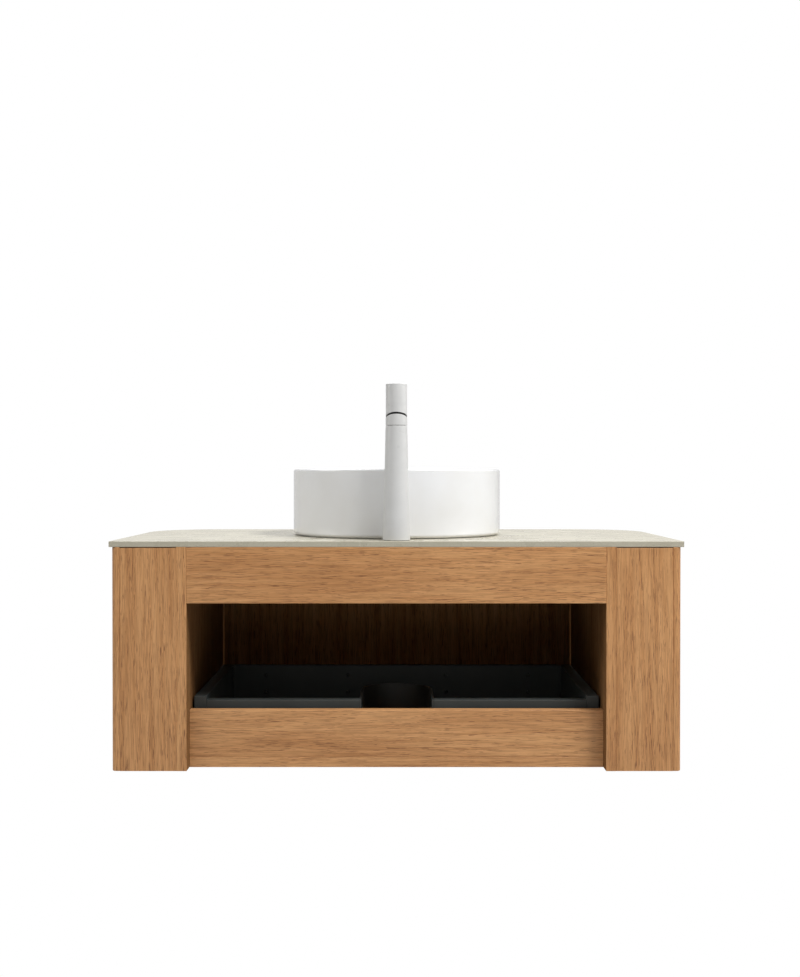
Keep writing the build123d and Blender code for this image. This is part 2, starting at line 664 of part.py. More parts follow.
bead_r = BASIN_R - FOOT_RING_W / 2
with BuildPart() as basin_bead:
    turn(
        [
            (bead_r - BEAD_W / 2, TOP_Z),
            (bead_r + BEAD_W / 2, TOP_Z),
            (bead_r + BEAD_W / 2, BASIN_Z),
            (bead_r - BEAD_W / 2, BASIN_Z),
        ],
        BASIN_Y,
    )
save(basin_bead, "basin_bead")

# Waste

spider_z = WASTE_TOP_Z - SPIDER_DROP
nut_top_z = UNDER_Z - LOWER_SEAL_T
relief_z = nut_top_z - WASTE_NUT_H - RELIEF_GAP
with BuildPart() as waste_body:
    turn(
        [
            (WASTE_BORE_R, WASTE_TOP_Z),
            (WASTE_FLANGE_R, WASTE_TOP_Z),
            (WASTE_FLANGE_R, WASTE_FLANGE_Z),
            (WASTE_THREAD_R, WASTE_FLANGE_Z),
            (WASTE_THREAD_R, relief_z),
            (WASTE_THREAD_R - RELIEF_DEPTH, relief_z),
            (WASTE_THREAD_R - RELIEF_DEPTH, relief_z - RELIEF_T),
            (WASTE_THREAD_R, relief_z - RELIEF_T),
            (WASTE_THREAD_R, WASTE_FOOT_Z),
            (WASTE_BORE_R, WASTE_FOOT_Z),
        ],
        BASIN_Y,
    )
    with BuildSketch(Plane.XY.offset(spider_z)):
        with Locations((0, BASIN_Y)):
            Circle(WASTE_BORE_R + 1)
            Circle(CLICK_TAIL_R + HOLE_CLEAR, mode=Mode.SUBTRACT)
            with PolarLocations(0.66 * WASTE_BORE_R, SPIDER_PORTS):
                Circle(0.24 * WASTE_BORE_R, mode=Mode.SUBTRACT)
    extrude(amount=SPIDER_T)
save(waste_body, "waste_body")

with BuildPart() as flange_seal:
    turn(
        [
            (WASTE_THREAD_R + WASTE_SEAL_GAP, WASTE_SEAT_Z),
            (WASTE_FLANGE_R - WASTE_SEAL_INSET, WASTE_SEAT_Z),
            (WASTE_FLANGE_R - WASTE_SEAL_INSET, WASTE_FLANGE_Z),
            (WASTE_THREAD_R + WASTE_SEAL_GAP, WASTE_FLANGE_Z),
        ],
        BASIN_Y,
    )
save(flange_seal, "flange_seal")

with BuildPart() as lower_seal:
    turn(
        [
            (WASTE_THREAD_R + WASTE_SEAL_GAP, nut_top_z),
            (WASTE_NUT_R - WASTE_SEAL_INSET, nut_top_z),
            (WASTE_NUT_R - WASTE_SEAL_INSET, UNDER_Z),
            (WASTE_THREAD_R + WASTE_SEAL_GAP, UNDER_Z),
        ],
        BASIN_Y,
    )
save(lower_seal, "lower_seal")

with BuildPart() as waste_nut:
    with BuildSketch(Plane.XY.offset(nut_top_z - WASTE_NUT_H)):
        with Locations((0, BASIN_Y)):
            RegularPolygon(WASTE_NUT_R, 8)
            Circle(WASTE_THREAD_R + HOLE_CLEAR, mode=Mode.SUBTRACT)
    extrude(amount=WASTE_NUT_H)
    chamfer(waste_nut.faces().sort_by(Axis.Z)[0].outer_wire().edges(), WASTE_NUT_CHAMFER)
save(waste_nut, "waste_nut")

click_z = spider_z + SPIDER_T
with BuildPart() as click_cartridge:
    turn(
        [
            (0, click_z - CLICK_TAIL_H),
            (CLICK_TAIL_R, click_z - CLICK_TAIL_H),
            (CLICK_TAIL_R, click_z),
            (CLICK_R, click_z),
            (CLICK_R, click_z + CLICK_H),
            (CLICK_BORE_R, click_z + CLICK_H),
            (CLICK_BORE_R, click_z - CLICK_TAIL_H + CLICK_TAIL_FLOOR),
            (0, click_z - CLICK_TAIL_H + CLICK_TAIL_FLOOR),
        ],
        BASIN_Y,
    )
save(click_cartridge, "click_cartridge")

plug_z = WASTE_TOP_Z + PLUG_REST_GAP
with BuildPart() as waste_plug:
    with BuildSketch(Plane.XZ.offset(-BASIN_Y)):
        with BuildLine():
            crown = TangentArc((0, plug_z + PLUG_T), (PLUG_R, plug_z + PLUG_EDGE_T), tangent=(1, 0))
            Polyline(crown @ 1, (PLUG_R, plug_z), (0, plug_z), crown @ 0)
        make_face()
    revolve(axis=Axis((0, BASIN_Y, 0), (0, 0, 1)))
    with Locations((0, BASIN_Y, plug_z - PLUG_STEM_L / 2)):
        Cylinder(PLUG_STEM_R, PLUG_STEM_L)
save(waste_plug, "waste_plug")

with BuildPart() as plug_seal:
    turn(
        [
            (PLUG_STEM_R, plug_z - PLUG_SEAL_T),
            (PLUG_SEAL_R, plug_z - PLUG_SEAL_T),
            (PLUG_SEAL_R, plug_z),
            (PLUG_STEM_R, plug_z),
        ],
        BASIN_Y,
    )
save(plug_seal, "plug_seal")

# Mixer body

tap_foot_z = TOP_Z + TAP_SEAL_T
seat_z = TOP_Z + SEAT_H
spout_z = TOP_Z + SPOUT_H
body_top_z = TOP_Z + TAP_BODY_H
shoulder_z = TOP_Z + CARTRIDGE_SHOULDER_H

with BuildPart() as tap_base_seal:
    turn(
        [
            (TAP_BORE_R, TOP_Z),
            (TAP_BASE_R - TAP_SEAL_INSET, TOP_Z),
            (TAP_BASE_R - TAP_SEAL_INSET, tap_foot_z),
            (TAP_BORE_R, tap_foot_z),
        ],
        TAP_Y,
    )
save(tap_base_seal, "tap_base_seal")

with BuildPart() as tap_body:
    with BuildSketch(Plane.XZ.offset(-TAP_Y)):
        with BuildLine():
            Line((0, tap_foot_z), (TAP_BASE_R, tap_foot_z))
            ThreePointArc(
                (TAP_BASE_R, tap_foot_z),
                (TAP_MID_R, (tap_foot_z + body_top_z) / 2),
                (TAP_TOP_R, body_top_z - EDGE),
            )
            Polyline(
                (TAP_TOP_R, body_top_z - EDGE),
                (TAP_TOP_R - EDGE, body_top_z),
                (0, body_top_z),
                (0, tap_foot_z),
            )
        make_face()
    revolve(axis=Axis((0, TAP_Y, 0), (0, 0, 1)))
    cartridge_hole_r = CARTRIDGE_R + HOLE_CLEAR
    nut_hole_r = NUT_R + HOLE_CLEAR
    turn(
        [(0, tap_foot_z), (TAP_BORE_R, tap_foot_z), (TAP_BORE_R, seat_z), (0, seat_z)],
        TAP_Y,
        Mode.SUBTRACT,
    )
    turn(
        [
            (0, seat_z + SEAT_T),
            (cartridge_hole_r, seat_z + SEAT_T),
            (cartridge_hole_r, shoulder_z),
            (nut_hole_r, shoulder_z),
            (nut_hole_r, body_top_z),
            (0, body_top_z),
        ],
        TAP_Y,
        Mode.SUBTRACT,
    )
    with Locations((0, TAP_Y, seat_z + SEAT_T / 2)):
        with PolarLocations(SEAT_PORT_RING, 3):
            Cylinder(SEAT_PORT_R, SEAT_T, mode=Mode.SUBTRACT)
    with Locations((0, TAP_Y - TAP_TOP_R, spout_z)):
        Cylinder(SPOUT_R + HOLE_CLEAR, TAP_BASE_R, rotation=(90, 0, 0), mode=Mode.SUBTRACT)
save(tap_body, "tap_body")

with BuildPart() as base_insert:
    with BuildSketch(Plane.XY.offset(tap_foot_z)):
        with Locations((0, TAP_Y)):
            Circle(TAP_BORE_R - HOLE_CLEAR)
        with Locations(*[(sign * HOSE_SPREAD, TAP_Y + HOSE_SHIFT) for _, sign in SIDES]):
            Circle(HOSE_THREAD_R, mode=Mode.SUBTRACT)
    extrude(amount=INSERT_H)
    with Locations((0, TAP_Y + STUD_SHIFT, tap_foot_z + STUD_IN_INSERT / 2)):
        Cylinder(STUD_R + HOLE_CLEAR, STUD_IN_INSERT, mode=Mode.SUBTRACT)
save(base_insert, "base_insert")

stud_span = (UNDER_Z - STUD_BELOW, tap_foot_z + STUD_IN_INSERT - END_GAP)
with BuildPart() as fixing_stud:
    with Locations((0, TAP_Y + STUD_SHIFT, sum(stud_span) / 2)):
        Cylinder(STUD_R, stud_span[1] - stud_span[0])
    chamfer(fixing_stud.faces().sort_by(Axis.Z)[0].edges(), STUD_CHAMFER)
save(fixing_stud, "fixing_stud")

pad_z = UNDER_Z - HORSESHOE_PAD_T
plate_z = pad_z - HORSESHOE_T
for label, low_z, thickness in (
    ("horseshoe_pad", pad_z, HORSESHOE_PAD_T),
    ("horseshoe_plate", plate_z, HORSESHOE_T),
):
    with BuildPart() as horseshoe:
        with BuildSketch(Plane.XY.offset(low_z)):
            with Locations((0, TAP_Y)):
                Circle(HORSESHOE_R)
            with Locations((0, -BOARD_T - HORSESHOE_RAIL_GAP)):
                Rectangle(
                    3 * HORSESHOE_R,
                    4 * HORSESHOE_R,
                    align=(Align.CENTER, Align.MAX),
                    mode=Mode.INTERSECT,
                )
            with Locations((0, TAP_Y + HOSE_SHIFT)):
                Circle(HORSESHOE_SLOT_R, mode=Mode.SUBTRACT)
                Rectangle(
                    2 * HORSESHOE_SLOT_R,
                    2 * HORSESHOE_R,
                    align=(Align.CENTER, Align.MAX),
                    mode=Mode.SUBTRACT,
                )
            with Locations((0, TAP_Y + STUD_SHIFT)):
                Circle(STUD_R + HORSESHOE_STUD_GAP, mode=Mode.SUBTRACT)
        extrude(amount=thickness)
    save(horseshoe, label)

with BuildPart() as stud_nut:
    with BuildSketch(Plane.XY.offset(plate_z - STUD_NUT_H)):
        with Locations((0, TAP_Y + STUD_SHIFT)):
            RegularPolygon(STUD_NUT_R, 6)
            Circle(STUD_R + HOLE_CLEAR, mode=Mode.SUBTRACT)
    extrude(amount=STUD_NUT_H)
save(stud_nut, "stud_nut")

# Spout and aerator

spout_root_y = TAP_Y - SPOUT_ROOT
spout_end_y = TAP_Y - SPOUT_REACH
aerator_y = spout_end_y + AERATOR_BACK
with BuildPart() as spout:
    with BuildSketch(Plane.XZ.offset(-spout_root_y)):
        with Locations((0, spout_z)):
            Circle(SPOUT_R)
    extrude(amount=spout_root_y - spout_end_y)
    fillet(spout.faces().sort_by(Axis.Y)[0].edges(), SPOUT_END_R)
    with BuildSketch(Plane.XZ.offset(-spout_root_y)):
        with Locations((0, spout_z)):
            Circle(SPOUT_R - SPOUT_WALL)
    extrude(amount=spout_root_y - spout_end_y - 2 * SPOUT_WALL, mode=Mode.SUBTRACT)
    with Locations((0, aerator_y, spout_z - SPOUT_R / 2)):
        Cylinder(AERATOR_R + HOLE_CLEAR, SPOUT_R + 1, mode=Mode.SUBTRACT)
save(spout, "spout")

aerator_foot_z = spout_z - SPOUT_R - AERATOR_DROP
with BuildPart() as aerator:
    with BuildSketch(Plane.XY.offset(aerator_foot_z)):
        with Locations((0, aerator_y)):
            Circle(AERATOR_R)
    extrude(amount=AERATOR_H)
    chamfer(aerator.faces().sort_by(Axis.Z)[0].edges(), EDGE)
    with BuildSketch(Plane.XY.offset(aerator_foot_z)):
        with Locations((0, aerator_y)):
            Circle(AERATOR_R - AERATOR_LIP)
    extrude(amount=AERATOR_H / 4, mode=Mode.SUBTRACT)
    with BuildSketch(Plane.XY.offset(aerator_foot_z)):
        with Locations((0, aerator_y)):
            for ring_r, jets in AERATOR_RINGS:
                with PolarLocations(ring_r, jets):
                    Circle(AERATOR_JET_R)
    extrude(amount=AERATOR_H, mode=Mode.SUBTRACT)
save(aerator, "aerator")

# Cartridge

with BuildPart() as cartridge:
    turn(
        [
            (0, seat_z + SEAT_T),
            (CARTRIDGE_R, seat_z + SEAT_T),
            (CARTRIDGE_R, shoulder_z),
            (CARTRIDGE_NECK_R, shoulder_z),
            (CARTRIDGE_NECK_R, TOP_Z + CARTRIDGE_TOP_H),
            (CARTRIDGE_WELL_R, TOP_Z + CARTRIDGE_TOP_H),
            (CARTRIDGE_WELL_R, TOP_Z + CARTRIDGE_WELL_H),
            (0, TOP_Z + CARTRIDGE_WELL_H),
        ],
        TAP_Y,
    )
save(cartridge, "cartridge")

with BuildPart() as cartridge_nut:
    turn(
        [
            (CARTRIDGE_NECK_R + HOLE_CLEAR, shoulder_z),
            (NUT_R, shoulder_z),
            (NUT_R, TOP_Z + NUT_TOP_H),
            (CARTRIDGE_NECK_R + HOLE_CLEAR, TOP_Z + NUT_TOP_H),
        ],
        TAP_Y,
    )
save(cartridge_nut, "cartridge_nut")

pivot_z = TOP_Z + PIVOT_H
rotor_z = (TOP_Z + CARTRIDGE_WELL_H + ROTOR_GAP, TOP_Z + ROTOR_TOP_H)
stem_slot_x = STEM_W / 2 + STEM_SLOT_GAP
with BuildPart() as cartridge_rotor:
    with Locations((0, TAP_Y, sum(rotor_z) / 2)):
        Cylinder(ROTOR_R, rotor_z[1] - rotor_z[0])
    block(
        (-stem_slot_x, stem_slot_x),
        (TAP_Y - ROTOR_R, TAP_Y + ROTOR_R),
        (rotor_z[0] + ROTOR_FLOOR_T, rotor_z[1]),
        Mode.SUBTRACT,
    )
    rod(PIN_R + HOLE_CLEAR, -ROTOR_R, ROTOR_R, [(TAP_Y, pivot_z)], mode=Mode.SUBTRACT)
save(cartridge_rotor, "cartridge_rotor")

# Turning collar with its slanted top, and the dome inside it

collar_z = body_top_z + COLLAR_GAP
slant_high_z = TOP_Z + SLANT_H + TAP_TOP_R * SLANT
slant_low_z = TOP_Z + SLANT_H - TAP_TOP_R * SLANT
with BuildPart() as tap_collar:
    turn(
        [
            (COLLAR_BORE_R, collar_z),
            (TAP_TOP_R - EDGE, collar_z),
            (TAP_TOP_R, collar_z + EDGE),
            (TAP_TOP_R, slant_high_z),
            (COLLAR_BORE_R, slant_high_z),
        ],
        TAP_Y,
    )
    with BuildSketch(Plane.YZ.offset(-TAP_TOP_R - 1)):
        with BuildLine():
            Polyline(
                (TAP_Y - TAP_TOP_R, slant_low_z),
                (TAP_Y + TAP_TOP_R, slant_high_z),
                (TAP_Y + TAP_TOP_R, slant_high_z + 1),
                (TAP_Y - TAP_TOP_R, slant_high_z + 1),
                close=True,
            )
        make_face()
    extrude(amount=2 * TAP_TOP_R + 2, mode=Mode.SUBTRACT)
save(tap_collar, "tap_collar")

with BuildPart() as dome_cap:
    with Locations((0, TAP_Y, pivot_z)):
        Sphere(DOME_R)
    dome_foot_z = TOP_Z + DOME_FOOT_H
    low_z = pivot_z - DOME_R - 1
    block((-DOME_R, DOME_R), (TAP_Y - DOME_R, TAP_Y + DOME_R), (low_z, dome_foot_z), Mode.SUBTRACT)
    neck_clear_r = CARTRIDGE_NECK_R + NECK_GAP
    neck_clear_z = TOP_Z + CARTRIDGE_TOP_H + NECK_GAP
    turn(
        [
            (0, dome_foot_z),
            (neck_clear_r, dome_foot_z),
            (neck_clear_r, neck_clear_z),
            (ROTOR_R + HOLE_CLEAR, neck_clear_z),
            (ROTOR_R + HOLE_CLEAR, rotor_z[1]),
            (0, rotor_z[1]),
        ],
        TAP_Y,
        Mode.SUBTRACT,
    )
    block(
        (-stem_slot_x, stem_slot_x),
        (TAP_Y - DOME_SLOT_REACH, TAP_Y + stem_slot_x),
        (rotor_z[1], pivot_z + DOME_R + 1),
        Mode.SUBTRACT,
    )
save(dome_cap, "dome_cap")

# Handle, its stem and its fixing

stem_z = (TOP_Z + STEM_FOOT_H, TOP_Z + STEM_TOP_H)
with BuildPart() as lever_stem:
    block((-STEM_W / 2, STEM_W / 2), (TAP_Y - STEM_W / 2, TAP_Y + STEM_W / 2), stem_z)
    rod(PIN_R, -PIN_L / 2, PIN_L / 2, [(TAP_Y, pivot_z)])
save(lever_stem, "lever_stem")

handle_foot_z = TOP_Z + SLANT_H + SLIT
handle_top_z = TOP_Z + HANDLE_TOP_H
cavity_r = HANDLE_R - HANDLE_WALL
with BuildPart() as tap_handle:
    turn(
        [
            (0, handle_foot_z),
            (HANDLE_R, handle_foot_z),
            (HANDLE_R, handle_top_z),
            (0, handle_top_z),
        ],
        TAP_Y,
    )
    fillet(tap_handle.faces().sort_by(Axis.Z)[-1].edges(), EDGE)
    with BuildSketch(Plane.YZ.offset(-HANDLE_R - 1)):
        with BuildLine():
            Polyline(
                (TAP_Y, handle_foot_z),
                (TAP_Y + HANDLE_R + 1, handle_foot_z + (HANDLE_R + 1) * SLANT),
                (TAP_Y + HANDLE_R + 1, handle_foot_z - 1),
                (TAP_Y, handle_foot_z - 1),
                close=True,
            )
        make_face()
    extrude(amount=2 * HANDLE_R + 2, mode=Mode.SUBTRACT)
    with Locations((0, TAP_Y, pivot_z)):
        Sphere(HANDLE_CUP_R, mode=Mode.SUBTRACT)
    turn(
        [
            (HANDLE_BOSS_R, TOP_Z + HANDLE_CAVITY_H),
            (cavity_r, TOP_Z + HANDLE_CAVITY_H),
            (cavity_r, handle_top_z - HANDLE_TOP_T),
            (HANDLE_BOSS_R, handle_top_z - HANDLE_TOP_T),
        ],
        TAP_Y,
        Mode.SUBTRACT,
    )
    stem_hole = STEM_W / 2 + HOLE_CLEAR
    block(
        (-stem_hole, stem_hole),
        (TAP_Y - stem_hole, TAP_Y + stem_hole),
        (handle_foot_z, stem_z[1] + HOLE_CLEAR),
        Mode.SUBTRACT,
    )
    with Locations((0, TAP_Y - HANDLE_R / 2 - 1, TOP_Z + GRUB_H)):
        Cylinder(GRUB_R + HOLE_CLEAR, HANDLE_R + 2, rotation=(90, 0, 0), mode=Mode.SUBTRACT)
save(tap_handle, "tap_handle")

with BuildPart() as grub_screw:
    with Locations((0, TAP_Y - STEM_W / 2 - GRUB_L / 2, TOP_Z + GRUB_H)):
        Cylinder(GRUB_R, GRUB_L, rotation=(90, 0, 0))
    with BuildSketch(Plane.XZ.offset(-TAP_Y + STEM_W / 2 + GRUB_L)):
        with Locations((0, TOP_Z + GRUB_H)):
            RegularPolygon(GRUB_HEX_R, 6)
    extrude(amount=-GRUB_HEX_DEPTH, mode=Mode.SUBTRACT)
save(grub_screw, "grub_screw")

with BuildPart() as index_plug:
    with Locations((0, TAP_Y - HANDLE_R + INDEX_PLUG_T / 2 + INDEX_PLUG_INSET, TOP_Z + GRUB_H)):
        Cylinder(GRUB_R, INDEX_PLUG_T, rotation=(90, 0, 0))
save(index_plug, "index_plug")
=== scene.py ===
"""Looks of a wall-hung vanity: stone counter, vessel basin, tall mixer and one drawer.

Metres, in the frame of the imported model: the wall is the plane Y = 0, the room is on its -Y side,
+Z is up and X = 0 is the middle. Left and right are those of a person in the room.
"""

import logging
import math
from collections.abc import Callable, Sequence
from dataclasses import dataclass
from enum import Enum

import bmesh
import bpy
from mathutils import Matrix, Vector


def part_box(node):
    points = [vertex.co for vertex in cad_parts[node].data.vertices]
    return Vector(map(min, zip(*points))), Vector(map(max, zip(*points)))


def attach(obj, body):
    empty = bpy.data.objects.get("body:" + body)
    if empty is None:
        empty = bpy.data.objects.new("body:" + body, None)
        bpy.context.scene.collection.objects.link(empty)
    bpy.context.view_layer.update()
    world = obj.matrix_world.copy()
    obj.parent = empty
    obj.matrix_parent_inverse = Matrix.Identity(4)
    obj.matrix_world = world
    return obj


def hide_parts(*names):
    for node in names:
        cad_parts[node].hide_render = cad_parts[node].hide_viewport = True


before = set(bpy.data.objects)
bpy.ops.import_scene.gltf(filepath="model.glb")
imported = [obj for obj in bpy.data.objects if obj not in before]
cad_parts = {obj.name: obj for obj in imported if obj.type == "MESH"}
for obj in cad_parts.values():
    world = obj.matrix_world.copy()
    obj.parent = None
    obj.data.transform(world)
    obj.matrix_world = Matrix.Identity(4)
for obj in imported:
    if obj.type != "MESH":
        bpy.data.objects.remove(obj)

Point = tuple[float, float]
Place = tuple[float, float, float]
Colour = tuple[float, float, float, float]

LOG = logging.getLogger("vanity")
MM = 0.001
SIDES = (("left", -1.0), ("right", 1.0))
SHARP = math.radians(32)
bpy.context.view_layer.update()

# Sockets of a colour Mix node
FACTOR, FIRST, SECOND, MIXED = 0, 6, 7, 2


def linear(hex_colour: str) -> Colour:
    """Turn an sRGB hex colour into linear light.

    Args:
        hex_colour: The colour as "#RRGGBB".

    Returns:
        Red, green, blue and an alpha of 1.
    """
    shares = [int(hex_colour[at : at + 2], 16) / 255 for at in (1, 3, 5)]
    red, green, blue = (s / 12.92 if s <= 0.04045 else ((s + 0.055) / 1.055) ** 2.4 for s in shares)
    return red, green, blue, 1.0


def shaded(hex_colour: str, share: float) -> str:
    """Darken a hex colour to this share of its brightness."""
    parts = [round(int(hex_colour[at : at + 2], 16) * share) for at in (1, 3, 5)]
    return "#" + "".join(f"{part:02X}" for part in parts)


def add_node(
    tree: bpy.types.NodeTree,
    kind: str,
    inputs: dict | None = None,
    stops: Sequence[tuple[float, str]] = (),
    **settings: object,
) -> bpy.types.Node:
    """Add a node with its settings, its input values and its links.

    Args:
        tree: The tree that gets the node.
        kind: Blender's name for the node's type.
        inputs: Socket name or number to a value, or to the output socket that feeds it.
        stops: Position and colour of each stop, where the node has a colour ramp.
        settings: The node's own properties.

    Returns:
        The new node.
    """
    node = tree.nodes.new(kind)
    for name, value in settings.items():
        setattr(node, name, value)
    for key, value in (inputs or {}).items():
        if isinstance(value, bpy.types.NodeSocket):
            tree.links.new(value, node.inputs[key])
        else:
            node.inputs[key].default_value = value
    for number, (position, colour) in enumerate(stops):
        elements = node.color_ramp.elements
        stop = elements[number] if number < 2 else elements.new(position)
        stop.position = position
        stop.color = linear(colour)
    return node


def per_mm(size: float) -> float:
    """Give the texture scale whose features are about this many millimetres wide."""
    return 1.0 / (size * MM)


# Finishes


class Grain(Enum):
    """The way that the grain of a piece runs, as the number of its axis."""

    ALONG_X = 0
    ALONG_Y = 1
    ALONG_Z = 2

    def stretch(self, times: float) -> Place:
        """Stretch a pattern along the grain.

        Args:
            times: How many times longer it gets.

        Returns:
            The pattern's scale along each axis.
        """
        scale = [1.0, 1.0, 1.0]
        scale[self.value] = 1.0 / times
        return scale[0], scale[1], scale[2]


@dataclass(frozen=True)
class Finish:
    """A surface: what it is made of, and how the eye sees it.

    The base class draws a plain surface with the slight mottling that every real one has.
    """

    name: str
    slot: str
    colour: str
    mottled: str
    roughness: float
    metallic: float = 0.0
    ior: float = 1.5
    coat: float = 0.0
    specular: float = 0.5
    grit: float = 1.0  # size of the surface's texture, in mm
    relief: float = 0.02  # height of that texture, in mm
    cloud: float = 40.0  # size of the patches in its tone, in mm

    def material(self) -> bpy.types.Material:
        """Build the material, or find it where it is already built.

        Returns:
            The material.
        """
        found = bpy.data.materials.get(self.name)
        if found is not None:
            return found
        material = bpy.data.materials.new(self.name)
        material.use_nodes = True
        tree = material.node_tree
        tree.nodes.clear()
        shader = add_node(
            tree,
            "ShaderNodeBsdfPrincipled",
            {
                "Base Color": linear(self.colour),
                "Roughness": self.roughness,
                "Metallic": self.metallic,
                "IOR": self.ior,
                "Specular IOR Level": self.specular,
                "Coat Weight": self.coat,
                "Coat Roughness": 0.06,
            },
        )
        add_node(tree, "ShaderNodeOutputMaterial", {"Surface": shader.outputs[0]})
        self.draw(tree, shader)
        return material

    def place(
        self,
        tree: bpy.types.NodeTree,
        scale: Place = (1.0, 1.0, 1.0),
        shift: Place = (0.0, 0.0, 0.0),
    ) -> bpy.types.NodeSocket:
        """Give the piece's own coordinates in metres, shifted and scaled.

        Args:
            tree: The material's tree.
            scale: Scale along each axis.
            shift: Shift along each axis, in metres.

        Returns:
            The socket with the coordinates.
        """
        here = add_node(tree, "ShaderNodeTexCoord")
        moved = add_node(
            tree,
            "ShaderNodeMapping",
            {"Vector": here.outputs["Object"], "Location": shift, "Scale": scale},
        )
        return moved.outputs[0]

    def emboss(
        self,
        tree: bpy.types.NodeTree,
        shader: bpy.types.Node,
        height: bpy.types.NodeSocket,
        relief: float,
        under: bpy.types.NodeSocket | None = None,
    ) -> bpy.types.NodeSocket:
        """Raise the surface by a height pattern, and give the bump's normal.

        Args:
            tree: The material's tree.
            shader: The Principled shader that gets the normal.
            height: The pattern, from 0 to 1.
            relief: How far 1 stands above 0, in mm.
            under: The normal of a coarser pattern under this one.

        Returns:
            The normal socket.
        """
        inputs = {"Height": height, "Distance": relief * MM, "Strength": 1.0}
        if under is not None:
            inputs["Normal"] = under
        bump = add_node(tree, "ShaderNodeBump", inputs)
        tree.links.new(bump.outputs[0], shader.inputs["Normal"])
        return bump.outputs[0]

    def vary(
        self,
        tree: bpy.types.NodeTree,
        shader: bpy.types.Node,
        pattern: bpy.types.NodeSocket,
        spread: float,
    ) -> None:
        """Vary the roughness by spread either way, as the pattern goes from 0 to 1.

        Args:
            tree: The material's tree.
            shader: The shader that gets the roughness.
            pattern: The pattern, from 0 to 1.
            spread: How far the roughness goes either way.
        """
        level = add_node(
            tree,
            "ShaderNodeMapRange",
            {
                "Value": pattern,
                "From Min": 0.3,
                "From Max": 0.7,
                "To Min": max(0.02, self.roughness - spread),
                "To Max": self.roughness + spread,
            },
        )
        tree.links.new(level.outputs[0], shader.inputs["Roughness"])

    def draw(self, tree: bpy.types.NodeTree, shader: bpy.types.Node) -> None:
        """Draw the pattern: soft patches of tone, and a fine texture in relief.

        Args:
            tree: The material's tree.
            shader: Its Principled shader.
        """
        place = self.place(tree)
        patches = add_node(
            tree,
            "ShaderNodeTexNoise",
            {"Vector": place, "Scale": per_mm(self.cloud), "Detail": 3.0},
        ).outputs["Fac"]
        tone = add_node(
            tree,
            "ShaderNodeValToRGB",
            {"Fac": patches},
            stops=((0.32, self.mottled), (0.68, self.colour)),
        )
        tree.links.new(tone.outputs[0], shader.inputs["Base Color"])
        self.vary(tree, shader, patches, 0.12 * self.roughness)
        texture = add_node(
            tree,
            "ShaderNodeTexNoise",
            {"Vector": place, "Scale": per_mm(self.grit), "Detail": 2.0},
        ).outputs["Fac"]
        self.emboss(tree, shader, texture, self.relief)


